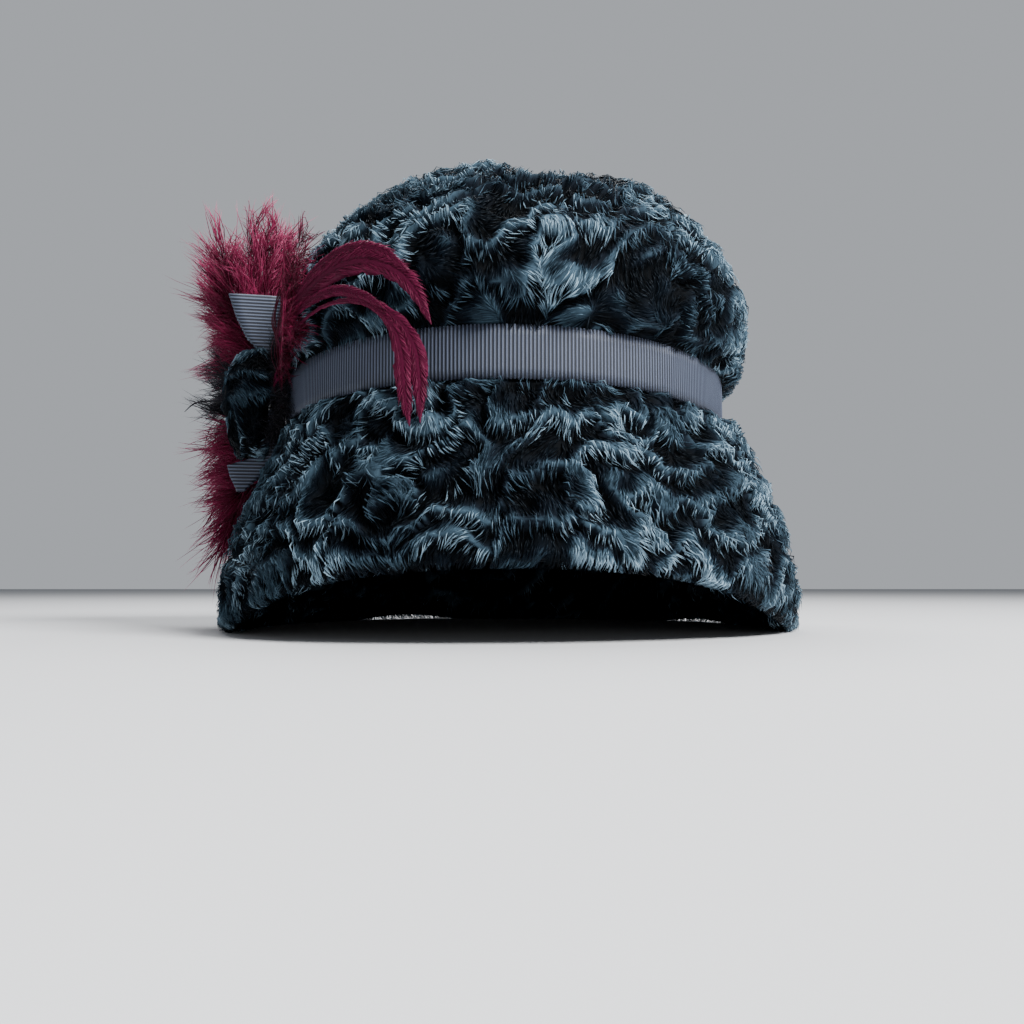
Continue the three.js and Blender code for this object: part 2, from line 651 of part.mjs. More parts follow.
// Quill lying on the backing plate's face, then out past the button's rim.
function quillAt(up) {
  const out = LAYER + HACKLE_THICKNESS / 2;
  return [
    { point: fromCockade(out, BACKING_RADIUS - QUILL_MARGIN, up), blade: 0.2 },
    { point: fromCockade(out + GAP, BUTTON_RADIUS + QUILL_MARGIN, 2.2 * up), blade: 0.25 },
  ];
}

function hackleUpper() {
  return piece('hackle_upper', vane(HACKLE_UPPER, quillAt(3.8)), BURGUNDY);
}

function hackleLower() {
  const blades = [vane(HACKLE_LOWER, quillAt(-1)), vane(HACKLE_FORK, [])];
  return piece('hackle_lower', fused(blades), BURGUNDY);
}

const hat = new THREE.Group();
hat.add(crownSide(), crownTip(), brimLayer('brim_upper', 1), brimLayer('brim_facing', -1), hatBand());

const cockade = new THREE.Group();
cockade.add(plume(), blackTuft(), hackleUpper(), hackleLower(), furButton());
cockade.add(ribbonLoop('loop_upper', LOOP_ROWS, LOOP_PLACE, LOOP_HEIGHT));
cockade.add(ribbonLoop('loop_lower', TAIL_ROWS, TAIL_PLACE, -TAIL_DEPTH));
hat.add(cockade);

// The origin is the middle of the hat's box, on the surface that it lies on.
const box = new THREE.Box3().setFromObject(hat);
hat.position.set(-(box.min.x + box.max.x) / 2, -(box.min.y + box.max.y) / 2, -box.min.z);

export default hat;
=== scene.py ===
import bpy
import numpy as np
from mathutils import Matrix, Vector


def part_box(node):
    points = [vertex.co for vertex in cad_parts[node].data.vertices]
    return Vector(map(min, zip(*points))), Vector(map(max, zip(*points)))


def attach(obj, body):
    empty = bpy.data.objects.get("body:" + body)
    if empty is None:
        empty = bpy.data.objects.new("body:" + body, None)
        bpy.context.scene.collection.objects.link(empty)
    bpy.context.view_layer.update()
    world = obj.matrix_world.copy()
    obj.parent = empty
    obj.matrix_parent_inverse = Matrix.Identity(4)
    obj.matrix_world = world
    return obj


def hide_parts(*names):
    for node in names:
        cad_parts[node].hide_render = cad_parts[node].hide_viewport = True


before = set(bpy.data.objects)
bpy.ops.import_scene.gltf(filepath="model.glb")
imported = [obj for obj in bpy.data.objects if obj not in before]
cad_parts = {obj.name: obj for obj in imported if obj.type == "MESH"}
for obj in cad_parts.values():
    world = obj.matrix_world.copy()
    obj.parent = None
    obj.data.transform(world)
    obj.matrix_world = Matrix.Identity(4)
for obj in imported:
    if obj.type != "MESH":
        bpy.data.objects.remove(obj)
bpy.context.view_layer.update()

# Camera and studio
# A close camera in front of the hat, just above the floor, which is as low as a hat that lies on its
# brim can be seen from. The floor is pale. A soft key light shines from the upper right and one from above,
# with weak ones at the left and low in front.

band_low, band_high = (1000 * np.array(corner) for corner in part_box("hat_band"))
AXIS = np.array([*(band_low + band_high)[:2] / 2, 0.0])

CAMERA_DISTANCE = 420
CAMERA_HEIGHT = 18
CAMERA_ASIDE = 3
CAMERA_PITCH = np.radians(4)
FOCAL_PIXELS = 1025
IMAGE_PIXELS = 1024
SENSOR = 36

camera_data = bpy.data.cameras.new("camera")
camera_data.sensor_width = SENSOR
camera_data.clip_start = 0.005
camera_data.lens = SENSOR * FOCAL_PIXELS / IMAGE_PIXELS
camera = bpy.data.objects.new("camera", camera_data)
camera.location = [*(AXIS + [CAMERA_ASIDE, -CAMERA_DISTANCE, CAMERA_HEIGHT]) / 1000]
camera.rotation_euler = (np.pi / 2 + CAMERA_PITCH, 0, 0)
bpy.context.scene.collection.objects.link(camera)
bpy.context.scene.camera = camera

STUDIO_LIGHTS = {
    "key_light": {"place": (0.60, -0.60, 0.85), "size": 0.45, "watts": 32},
    "fill_light": {"place": (-0.90, -0.70, 0.40), "size": 0.90, "watts": 0.8},
    "low_light": {"place": (0.25, -1.20, 0.12), "size": 0.50, "watts": 2},
    "top_light": {"place": (-0.10, 0.35, 1.00), "size": 0.70, "watts": 11},
}
LIT_PLACE = Vector((0, 0, 0.09))
for name, light in STUDIO_LIGHTS.items():
    lamp = bpy.data.lights.new(name, "AREA")
    lamp.size = light["size"]
    lamp.energy = light["watts"]
    holder = bpy.data.objects.new(name, lamp)
    holder.location = light["place"]
    holder.rotation_euler = (LIT_PLACE - holder.location).to_track_quat("-Z", "Y").to_euler()
    bpy.context.scene.collection.objects.link(holder)

air = bpy.data.worlds.new("studio_air")
air.use_nodes = True
soft_glow = air.node_tree.nodes["Background"]
soft_glow.inputs["Color"].default_value = (0.74, 0.78, 0.84, 1)
soft_glow.inputs["Strength"].default_value = 0.24
pale_air = air.node_tree.nodes.new("ShaderNodeBackground")
pale_air.inputs["Color"].default_value = (0.42, 0.44, 0.47, 1)
chosen_air = air.node_tree.nodes.new("ShaderNodeMixShader")
light_path = air.node_tree.nodes.new("ShaderNodeLightPath")
air.node_tree.links.new(light_path.outputs["Is Camera Ray"], chosen_air.inputs["Fac"])
air.node_tree.links.new(soft_glow.outputs["Background"], chosen_air.inputs[1])
air.node_tree.links.new(pale_air.outputs["Background"], chosen_air.inputs[2])
air.node_tree.links.new(chosen_air.outputs["Shader"], air.node_tree.nodes["World Output"].inputs["Surface"])
bpy.context.scene.world = air


def plain_material(name, colour, roughness):
    """Material with one shader, whose constant values are set on its own sockets."""
    material = bpy.data.materials.new(name)
    material.use_nodes = True
    shader = material.node_tree.nodes["Principled BSDF"]
    shader.inputs["Base Color"].default_value = (*colour, 1)
    shader.inputs["Roughness"].default_value = roughness
    return material, shader


FLOOR_REACH = 3
floor_mesh = bpy.data.meshes.new("floor")
floor_corners = [(x * FLOOR_REACH, y * FLOOR_REACH, 0) for x, y in ((-1, -1), (1, -1), (1, 1), (-1, 1))]
floor_mesh.from_pydata(floor_corners, [], [(0, 1, 2, 3)])
floor = bpy.data.objects.new("floor", floor_mesh)
bpy.context.scene.collection.objects.link(floor)
floor_mesh.materials.append(plain_material("pale_floor", (0.72, 0.73, 0.75), 0.6)[0])

# Hat band
# A slate grosgrain ribbon sewn round the foot of the crown, its ends hidden under the cockade.
# Thick crosswise ribs stand out on both faces, and each ends in a small loop at the ribbon's edge.

BAND_WIDTH = 17
BAND_THICKNESS = 1.1
GAP = 0.3
RIB_PITCH = 1.25
RIB_HEIGHT = 0.3
RIB_STEPS = 4
PICOT = 0.55
RIBBON_FACE_POINTS = 6
COCKADE_AZIMUTH = np.radians(-75)
HALF_WIDTH, HALF_LENGTH = (band_high - band_low)[:2] / 2 - BAND_THICKNESS - GAP
BAND_FOOT = (band_high + band_low)[2] / 2 - BAND_WIDTH / 2
TIP_SLOPE = ((band_high - band_low)[2] - BAND_WIDTH) / (band_high - band_low)[1]


def oval(azimuth, outward, height=0.0):
    """Head oval: half width times the sine, minus half length times the cosine, both grown by outward.
    Azimuth 0 is the front, and it grows towards +X."""
    x = (HALF_WIDTH + outward) * np.sin(azimuth)
    y = -(HALF_LENGTH + outward) * np.cos(azimuth)
    return np.stack(np.broadcast_arrays(x, y, height), axis=-1).astype(float)


def band_foot(y):
    """Height of the band's lower edge, which falls evenly from the front to the back."""
    return BAND_FOOT - TIP_SLOPE * y


def unit(vectors):
    """Vectors over their own lengths."""
    return vectors / np.maximum(np.linalg.norm(vectors, axis=-1, keepdims=True), 1e-9)


def smooth(value, low, high):
    """0 below low and 1 above high. Between them, three times the share's square less twice its cube."""
    share = np.clip((value - low) / (high - low), 0, 1)
    return share * share * (3 - 2 * share)


def smooth_line(rows, between=60):
    """Catmull-Rom line through rows of numbers: a cubic between two rows whose slope at each row
    is half the step from the row before to the row after."""
    rows = np.array(rows, float)
    padded = np.concatenate([rows[:1], rows, rows[-1:]])
    a, b, c, d = (padded[k:len(padded) - 3 + k, None] for k in range(4))
    t = np.linspace(0, 1, between, endpoint=False).reshape(1, -1, *[1] * (rows.ndim - 1))
    line = b + 0.5 * t * (c - a + t * (2 * a - 5 * b + 4 * c - d + t * (3 * (b - c) + d - a)))
    return np.concatenate([line.reshape(-1, *rows.shape[1:]), rows[-1:]])


def lengths(line):
    """Distance run along a line of points, from its start to each point."""
    run = np.linalg.norm(np.diff(line[..., :3], axis=0), axis=-1)
    return np.concatenate([[0], np.cumsum(run)])


def read_at(places, known_places, rows):
    """Every column of rows read at places by straight interpolation."""
    return np.stack([np.interp(places, known_places, column) for column in rows.T], axis=-1)


def resampled(line, run):
    """Every column of a line read at distances along it."""
    return read_at(run, lengths(line), line)


def closed_skin(rings, looped=False):
    """Points and triangles of a grid of rings. Each ring closes on itself. Looped, the last ring joins
    the first, and otherwise each end ring is closed by a fan to its own middle."""
    rows, columns = rings.shape[:2]
    here = np.arange(rows if looped else rows - 1)[:, None] * columns
    up = (here + columns) % (rows * columns)
    a = np.arange(columns)[None]
    b = np.roll(a, -1)
    cells = [np.stack([here + a, here + b, up + b], -1), np.stack([here + a, up + b, up + a], -1)]
    points = rings.reshape(rows * columns, -1)
    if not looped:
        points = np.concatenate([points, rings[:1].mean(1), rings[-1:].mean(1)])
        foot = np.full_like(a, rows * columns)
        last = (rows - 1) * columns
        cells += [np.stack([foot, b, a], -1), np.stack([foot + 1, a + last, b + last], -1)]
    return points, np.concatenate([cell.reshape(-1, 3) for cell in cells])


def make_piece(name, points, triangles, material, channels=()):
    """Smooth closed mesh from points in millimetres about the hat's axis and rows of three corners.
    Columns after the first three become float attributes. The sign of the volume turns faces outward."""
    place = points[:, :3]
    corners = place[triangles]
    volume = np.einsum("ij,ij->", corners[:, 0], np.cross(corners[:, 1], corners[:, 2]))
    if volume < 0:
        triangles = triangles[:, ::-1]
    mesh = bpy.data.meshes.new(name)
    mesh.vertices.add(len(points))
    mesh.vertices.foreach_set("co", ((place + AXIS) / 1000).astype(np.float32).ravel())
    mesh.loops.add(triangles.size)
    mesh.loops.foreach_set("vertex_index", np.ascontiguousarray(triangles, np.int32).ravel())
    mesh.polygons.add(len(triangles))
    mesh.polygons.foreach_set("loop_start", np.arange(0, triangles.size, 3, dtype=np.int32))
    mesh.polygons.foreach_set("use_smooth", np.ones(len(triangles), bool))
    for k, channel in enumerate(channels):
        attribute = mesh.attributes.new(channel, "FLOAT", "POINT")
        attribute.data.foreach_set("value", points[:, 3 + k].astype(np.float32))
    mesh.update(calc_edges=True)
    mesh.materials.append(material)
    made = bpy.data.objects.new(name, mesh)
    bpy.context.scene.collection.objects.link(made)
    return made


def ribbed_ribbon(near, far, normal):
    """Rings of a ribbed ribbon between its two edges, given at RIB_STEPS stations to each rib.
    A rib's height is the root of one less the square of its place from -1 to 1 across the rib; it stands
    off both faces along normal, and ends in a picot past both edges. Channels: distance along, place
    across, and a value that falls evenly from 1 on the rib to 0 in the groove."""
    run = lengths((near + far) / 2)
    place = 2 * np.mod(np.arange(len(run)) / RIB_STEPS, 1) - 1
    rib = np.sqrt(1 - place**2)[:, None, None]
    across = np.linspace(0, 1, RIBBON_FACE_POINTS)
    across = np.concatenate([across, across[::-1]])[None, :, None]
    face = np.repeat([1, -1], RIBBON_FACE_POINTS)[None, :, None]
    at_edge = np.abs(2 * across - 1) > 0.99
    half = BAND_THICKNESS / 2 - RIB_HEIGHT + RIB_HEIGHT * rib * (1 - 0.35 * at_edge)
    picot = unit(far - near)[:, None] * np.sign(across - 0.5) * at_edge * PICOT * (rib - 0.5)
    rings = near[:, None] + (far - near)[:, None] * across + picot + normal[:, None] * face * half
    channels = np.broadcast_arrays(run[:, None, None], across, 1 - np.abs(place)[:, None, None])
    return np.concatenate([rings, *(np.broadcast_to(c, rings[..., :1].shape) for c in channels)], axis=-1)


def noise_bump(material, coordinate, scale, strength, distance, detail=3.0, stretch=(1, 1, 1)):
    """Fine relief of a shader from one stretched noise read on a coordinate socket."""
    nodes, links = material.node_tree.nodes, material.node_tree.links
    mapping = nodes.new("ShaderNodeMapping")
    mapping.inputs["Scale"].default_value = stretch
    noise = nodes.new("ShaderNodeTexNoise")
    noise.inputs["Scale"].default_value = scale
    noise.inputs["Detail"].default_value = detail
    bump = nodes.new("ShaderNodeBump")
    bump.inputs["Strength"].default_value = strength
    bump.inputs["Distance"].default_value = distance
    links.new(coordinate, mapping.inputs["Vector"])
    links.new(mapping.outputs["Vector"], noise.inputs["Vector"])
    links.new(noise.outputs["Fac"], bump.inputs["Height"])
    links.new(bump.outputs["Normal"], nodes["Principled BSDF"].inputs["Normal"])
    return noise


def attribute_socket(material, name):
    """The value of one of a piece's own attributes."""
    node = material.node_tree.nodes.new("ShaderNodeAttribute")
    node.attribute_name = name
    return node.outputs["Fac"]


def ramp_colour(material, value, stops, noise=None, contrast=0.0):
    """Base colour by a ramp over a value, to which the share contrast of a noise less its mean is added."""
    nodes, links = material.node_tree.nodes, material.node_tree.links
    if noise is not None:
        mixed = nodes.new("ShaderNodeMath")
        mixed.operation = "MULTIPLY_ADD"
        mixed.inputs[1].default_value = contrast
        links.new(noise, mixed.inputs[0])
        links.new(value, mixed.inputs[2])
        shifted = nodes.new("ShaderNodeMath")
        shifted.operation = "SUBTRACT"
        shifted.inputs[1].default_value = contrast / 2
        links.new(mixed.outputs["Value"], shifted.inputs[0])
        value = shifted.outputs["Value"]
    ramp = nodes.new("ShaderNodeValToRGB")
    points = ramp.color_ramp.elements
    while len(points) < len(stops):
        points.new(0.5)
    for point, (place, colour) in zip(points, stops):
        point.position = place
        point.color = (*colour, 1)
    links.new(value, ramp.inputs["Fac"])
    links.new(ramp.outputs["Color"], nodes["Principled BSDF"].inputs["Base Color"])


def grosgrain():
    """Slate ribbon with painted shade in the grooves, darker than on the ribs, and fine threads lying along
    the ribbon over them.
    """
    material, shader = plain_material("slate_grosgrain", (0.1, 0.11, 0.15), 0.55)
    shader.inputs["Specular IOR Level"].default_value = 0.35
    shader.inputs["Sheen Weight"].default_value = 0.06
    shader.inputs["Sheen Roughness"].default_value = 0.4
    shader.inputs["Sheen Tint"].default_value = (0.7, 0.75, 0.9, 1)
    nodes = material.node_tree.nodes
    lie = nodes.new("ShaderNodeCombineXYZ")
    material.node_tree.links.new(attribute_socket(material, "along"), lie.inputs["X"])
    material.node_tree.links.new(attribute_socket(material, "across"), lie.inputs["Y"])
    threads = noise_bump(material, lie.outputs["Vector"], 1.0, 0.5, 0.0001, 2.0, (0.9, 70, 1))
    # Ramp over the rib value: painted shade in the grooves up to the slate's own colour on the ribs.
    slate = [(0.0, (0.003, 0.004, 0.007)), (0.5, (0.020, 0.025, 0.042)), (1.0, (0.114, 0.138, 0.200))]
    ramp_colour(material, attribute_socket(material, "rib"), slate, threads.outputs["Fac"], 0.2)
    return material


slate_grosgrain = grosgrain()

turns = COCKADE_AZIMUTH + np.linspace(0.004, 2 * np.pi - 0.004, 4000)
band_line = oval(turns, GAP + BAND_THICKNESS / 2)
rib_count = int(lengths(band_line)[-1] / RIB_PITCH)
band_runs = np.linspace(0, lengths(band_line)[-1], rib_count * RIB_STEPS + 1)
band_line = resampled(band_line, band_runs)
band_line[:, 2] = band_foot(band_line[:, 1])
band_off = unit(band_line / [HALF_WIDTH**2, HALF_LENGTH**2, np.inf])
band_skin = closed_skin(ribbed_ribbon(band_line, band_line + [0, 0, BAND_WIDTH], band_off))
band = make_piece("ribbon_band", *band_skin, slate_grosgrain, ("along", "across", "rib"))
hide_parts("hat_band")
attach(band, "root")

# Crown side and crown tip
# Curly fur cloth, a woven back with a deep crushed pile. The side is a band of cloth sewn to a rounded
# tip, and the pile hides the seam. The crown leans to one side and is creased along its top.

CROWN_RISE = 76
CROWN_LEAN = 8
TIP_SEAM = 84
CREASE_DEPTH = 8
CREASE_SPREAD = 14
CREASE_SIDE = 16
CLOTH = 3
PILE_BASE = 0.6
PILE_RELIEF = 6.5
CREST_PLACE = 0.84
PILE_GROWTH = 6
OVER_BAND = BAND_THICKNESS + 2 * GAP + 0.2
BUTTON_RADIUS = 21
PRESS_SPREAD = 1.6
CROWN_SECTIONS = np.array([
    # height as a share of CROWN_RISE, girth as a share of the head oval
    (0.00, 1.00), (0.08, 1.01), (0.22, 1.03), (0.38, 1.01), (0.55, 0.93),
    (0.72, 0.80), (0.86, 0.63), (0.95, 0.43), (0.99, 0.21), (1.00, 0.00),
])

cockade_middle = oval(COCKADE_AZIMUTH, BAND_THICKNESS + GAP)
cockade_middle[2] = band_foot(cockade_middle[1]) + BAND_WIDTH / 2
crown_radius = (HALF_WIDTH + HALF_LENGTH) / 2
crown_line = smooth_line(CROWN_SECTIONS[:, ::-1] * [crown_radius, CROWN_RISE])
crown_run = lengths(crown_line)


def unpressed(points):
    """1 away from the cockade, and less near it by a bell curve: there the button presses the pile flat."""
    away = ((points - cockade_middle) ** 2).sum(-1)
    return 1 - np.exp(-away / (PRESS_SPREAD * BUTTON_RADIUS) ** 2)


def crown_cloth(azimuth, along):
    """Cloth of the crown by the distance along its outline from the band's top edge. The head oval is
    scaled by the outline's girth, lifted by its height, leaned to +X, and lowered by a bell curve for the
    crease."""
    radius = np.interp(along, crown_run, crown_line[:, 0])
    rise = np.where(along < 0, along, np.interp(along, crown_run, crown_line[:, 1]))
    straight = oval(azimuth, 0, rise + BAND_WIDTH)
    straight[..., 2] += band_foot(straight[..., 1])
    bulge = radius / crown_radius
    girth = np.where(bulge > 1, 1 + (bulge - 1) * unpressed(straight), bulge)
    up = np.maximum(rise / CROWN_RISE, 0)
    x = straight[..., 0] * girth + CROWN_LEAN * up
    y = straight[..., 1] * girth
    crease = CREASE_DEPTH * np.exp(-(((x - CREASE_SIDE) / CREASE_SPREAD) ** 2)) * smooth(up, 0.6, 0.95)
    return np.stack([x, y, band_foot(y) + BAND_WIDTH + rise - crease], axis=-1)


def lifted(cloth, turn, along, height):
    """Points of a surface moved along its normal, the cross product of its slopes in turn and along."""
    east = cloth(turn + 0.01, along) - cloth(turn - 0.01, along)
    north = cloth(turn, along + 0.5) - cloth(turn, along - 0.5)
    return cloth(turn, along) + unit(np.cross(east, north)) * np.asarray(height)[..., None]


def waves(points, pitch, seed, count=20):
    """Sum of plane waves of one pitch in seeded directions, over the root of half their count, so that
    it spreads by about 1: round and worm-like lumps without a repeat."""
    random = np.random.default_rng(seed)
    directions = unit(random.normal(size=(count, 3)))
    phases = random.uniform(0, 2 * np.pi, count)
    return np.cos(points @ directions.T * (2 * np.pi / pitch) + phases).sum(-1) / np.sqrt(count / 2)


LIE_CENTRE = np.array([-45, 40, 230])
LIE_PITCH = 13


def lie(points):
    """Field whose slope is the way that the pile lies: the distance from a point over the crown, in
    pitches, bent by a broad field of waves and a finer one. The pile points down and away from there."""
    away = np.linalg.norm(points - LIE_CENTRE, axis=-1) / LIE_PITCH
    return away + 0.32 * waves(points, 42, 21) + 0.08 * waves(points, 17, 22)


def crush(points):
    """Steps of the crushed pile: its lie, moved on or back by up to half a step in patches with soft
    borders. Its whole numbers are the hollows."""
    return lie(points) + 0.45 * np.tanh(3 * waves(points, 25, 24)) + 0.09 * waves(points, 9, 25)


def curls(points):
    """Height of the crushed pile, from 0 in the dark hollows to 1 on the crests. Over each step of
    the crush it climbs evenly from a hollow to a crest and then drops steeply to the next hollow."""
    step = np.mod(crush(points), 1)
    climb = np.minimum(step / CREST_PLACE, (1 - step) / (1 - CREST_PLACE))
    return np.clip(0.92 * climb + 0.05 * waves(points, 7, 23), 0, 1)


def crown_fur(azimuth, along, lift=None):
    """Face of the crown's pile: the cloth lifted by the pile's base and its curls, growing from the band's
    edge and pressed near the cockade. A fibre has a lift of its own and lies clear over the band's edge."""
    cloth = crown_cloth(azimuth, along)
    grown = smooth(along, 0, PILE_GROWTH) * unpressed(cloth)
    height = grown * (PILE_BASE + PILE_RELIEF * curls(cloth))
    if lift is not None:
        height = np.maximum(height + grown * lift, OVER_BAND * (1 - grown))
    return lifted(crown_cloth, azimuth, along, height)


def fibres(stations, normal, width, tone, swell=(1.0,), flat=1.0, sides=3):
    """Closed spindles pointed at both ends. Each has a root, one ring for each value of swell, and a tip,
    at the rows of stations. A ring's radius is half the width times its swell, flattened along normal.
    Tone is given at every station."""
    count, stops = stations.shape[:2]
    ahead = unit(stations[:, 2:] - stations[:, :-2])
    across = unit(np.cross(ahead, normal[:, None]))
    over = np.cross(across, ahead)
    turn = 2 * np.pi * np.arange(sides) / sides
    wide = across[:, :, None] * np.cos(turn)[:, None] + flat * over[:, :, None] * np.sin(turn)[:, None]
    radius = 0.5 * np.asarray(width).reshape(-1, 1) * np.array(swell)
    rings = stations[:, 1:-1, None] + wide * radius[:, :, None, None]
    rings = rings.reshape(count, -1, 3)
    points = np.concatenate([stations[:, :1], rings, stations[:, -1:]], axis=1)
    tones = np.concatenate([tone[:, :1], np.repeat(tone[:, 1:-1], sides, axis=1), tone[:, -1:]], axis=1)
    a = np.arange(sides)
    b = np.roll(a, -1)
    root = np.stack([np.zeros_like(a), 1 + b, 1 + a], -1)
    tip = np.stack([np.full_like(a, 1 + (stops - 2) * sides), a, b], -1)
    tip[:, 1:] += 1 + (stops - 3) * sides
    walls = []
    for ring in range(stops - 3):
        low, high = 1 + ring * sides, 1 + (ring + 1) * sides
        walls += [np.stack([low + a, low + b, high + b], -1), np.stack([low + a, high + b, high + a], -1)]
    one = np.concatenate([root, tip, *walls])
    each = points.shape[1]
    triangles = (one[None] + each * np.arange(count)[:, None, None]).reshape(-1, 3)
    return np.concatenate([points, tones[..., None]], axis=-1).reshape(-1, 4), triangles


FIBRE_WIDTH = 0.42
FIBRE_LENGTH = 7.2
FIBRE_STATIONS = [(-0.40, -0.5), (0.15, 0.8), (0.60, 0.9)]
SWIRL = 0.4
LOCK_SWIRL = 0.14
FIBRE_SCATTER = 0.06
RAISED_SHARE = 0.08
EDGE_COMB = 0.15
# Share of the pile's painted light kept at its foot: the rest is painted shade between the fibres.
GROUND_PAINTED_SHADE = 0.75


def painted_pile_light(points, level):
    """Painted light of the pile by the level it has climbed from a hollow, 0, to a crest, 1: painted shade
    up to a quarter of the climb, then a smooth step up to a painted highlight on the crest, all of it times
    broad patches of painted shade a third darker or less, where the pile lies away from the light."""
    painted_shade_patch = 0.82 + 0.18 * np.tanh(1.8 * waves(points, 36, 34))
    return painted_shade_patch * smooth(level, 0.26, 0.94)


def painted_ground_light(points):
    """Painted light of the foot of the pile: the pile's painted light, a share darker for painted shade
    between the fibres, and painted shade again past a crest.
    """
    step = np.mod(crush(points), 1)
    return GROUND_PAINTED_SHADE * painted_pile_light(points, step) * (1 - smooth(step, CREST_PLACE, 0.96))


def pile(cloth, face, along_range, count, seed, length=FIBRE_LENGTH, floor=-np.inf, reach=None,
         edge=None, shift=0, painted_dimming=1.0):
    """Fibres rooted evenly over a face. Each follows the pile's lie, turned by a broad swirl and by a fine
    one that gathers neighbours in locks, and near an edge it is combed over it. Its tone carries painted
    light:
    painted shade in the hollow, the whole number of the crush below its root, rising with the crush to a
    painted highlight on the crest, all times a factor of painted shade for the whole piece."""
    random = np.random.default_rng(seed)
    reach = along_range if reach is None else reach
    turn = random.uniform(-np.pi, np.pi, 3 * count)
    along = random.uniform(*along_range, 3 * count)
    east = (cloth(turn + 0.01, along) - cloth(turn - 0.01, along)) / 0.02
    north = cloth(turn, along + 0.5) - cloth(turn, along - 0.5)
    area = np.linalg.norm(np.cross(east, north), axis=-1)
    chosen = random.choice(3 * count, count, replace=False, p=area / area.sum())
    turn, along, east, north = turn[chosen], along[chosen], east[chosen], north[chosen]
    turn_step = 1 / np.maximum(np.linalg.norm(east, axis=-1), 1)
    along_step = 1 / np.maximum(np.linalg.norm(north, axis=-1), 0.2)
    shift = np.array([0, 0, shift])
    place = cloth(turn, along) + shift
    crest = curls(place)
    step = crush(place)
    heading = np.stack([lie(cloth(turn + turn_step, along) + shift) - lie(place),
                        lie(cloth(turn, along + along_step) + shift) - lie(place)], axis=-1)
    if edge is not None:
        heading[:, 1] -= EDGE_COMB * smooth(-along, edge - length, edge)
    heading = unit(heading)
    fine = SWIRL * waves(place, 30, 31) + LOCK_SWIRL * waves(place, 4.5, 33)
    fine = fine + FIBRE_SCATTER * random.normal(size=count)
    heading = np.stack([heading[:, 0] * np.cos(fine) - heading[:, 1] * np.sin(fine),
                        heading[:, 0] * np.sin(fine) + heading[:, 1] * np.cos(fine)], axis=-1)
    run = length * random.uniform(0.7, 1.15, count)
    raised = random.uniform(0.5, 1.3, count) + 0.9 * (random.uniform(size=count) < RAISED_SHARE)
    # Random tone of each fibre, times the painted shade given for the whole piece.
    shade = painted_dimming * random.uniform(0.8, 1.1, count)
    stations, tones = [], []
    for share, lift in FIBRE_STATIONS:
        turned = turn + share * run * heading[:, 0] * turn_step
        moved = np.clip(along + share * run * heading[:, 1] * along_step, *reach)
        under = cloth(turned, moved) + shift
        drop = np.maximum(crest - curls(under), 0) * (share > 0)
        station = face(turned, moved, lift * np.where(lift > 0, raised, 1) + 0.6 * PILE_RELIEF * drop)
        station[:, 2] = np.maximum(station[:, 2], floor)
        stations.append(station)
        # Painted shade in the hollow, rising to a painted highlight on the crest.
        tones.append(shade * painted_pile_light(under, crush(under) - np.floor(step)))
    normal = unit(np.cross(east, north))
    width = FIBRE_WIDTH * random.uniform(0.7, 1.3, count)
    return fibres(np.stack(stations, axis=1), normal, width, np.stack(tones, axis=-1))


# Ramp over the pile's tone, from near black to blue grey: painted shade in the hollows and a painted
# highlight on the crests, over the pile's own black with lighter tips.
PILE_COLOURS = [(0.0, (0.0005, 0.0010, 0.0017)), (0.32, (0.0034, 0.0065, 0.0115)),
                (0.66, (0.046, 0.081, 0.112)), (1.0, (0.270, 0.395, 0.490))]


def toned(material, grain, stops, contrast):
    """Colours a material by the tone of a piece's points and by a fine grain, which is given by the scale,
    strength, distance and detail of noise_bump."""
    place = material.node_tree.nodes.new("ShaderNodeTexCoord").outputs["Object"]
    noise = noise_bump(material, place, *grain)
    ramp_colour(material, attribute_socket(material, "tone"), stops, noise.outputs["Fac"], contrast)
    return material


def fur_fibre_material():
    """Single fibres of the pile: near black with painted shade in the hollows, blue grey with a painted
    highlight on the crests.
    """
    material, shader = plain_material("fur_fibre", (0.01, 0.013, 0.018), 0.5)
    shader.inputs["Specular IOR Level"].default_value = 0.14
    shader.inputs["Specular Tint"].default_value = (0.55, 0.72, 0.90, 1)
    return toned(material, (160, 0.1, 0.0006, 4.0), PILE_COLOURS, 0.10)


def fur_ground_material():
    """Foot of the pile between the fibres: rough, without any sheen, and almost black with painted shade
    between the fibres.
    """
    material, shader = plain_material("fur_ground", (0.004, 0.005, 0.007), 0.85)
    shader.inputs["Specular IOR Level"].default_value = 0.08
    return toned(material, (500, 0.8, 0.0006, 4.0), PILE_COLOURS, 0.2)


def cloth_back():
    """Woven back of the fur cloth: near black, with a small even weave."""
    material, shader = plain_material("cloth_back", (0.018, 0.019, 0.024), 0.8)
    place = material.node_tree.nodes.new("ShaderNodeTexCoord").outputs["Object"]
    grain = noise_bump(material, place, 900, 0.4, 0.0003, 2.0)
    weave = [(0.0, (0.010, 0.011, 0.014)), (1.0, (0.030, 0.032, 0.040))]
    ramp_colour(material, grain.outputs["Fac"], weave)
    return material


fur_ground = fur_ground_material()
fur_fibre = fur_fibre_material()
woven_back = cloth_back()


def back_with_weave(piece_made, rings_of_fur, columns):
    """Gives every face past the first rings of fur the woven back."""
    piece_made.data.materials.append(woven_back)
    corners = np.empty(len(piece_made.data.loops), np.int32)
    piece_made.data.loops.foreach_get("vertex_index", corners)
    behind = (corners.reshape(-1, 3).max(1) >= rings_of_fur * columns).astype(np.int32)
    piece_made.data.polygons.foreach_set("material_index", behind)


def with_tone(points, tone):
    """Points with one more column for their tone."""
    return np.concatenate([points, np.broadcast_to(tone, points.shape[:-1])[..., None]], axis=-1)


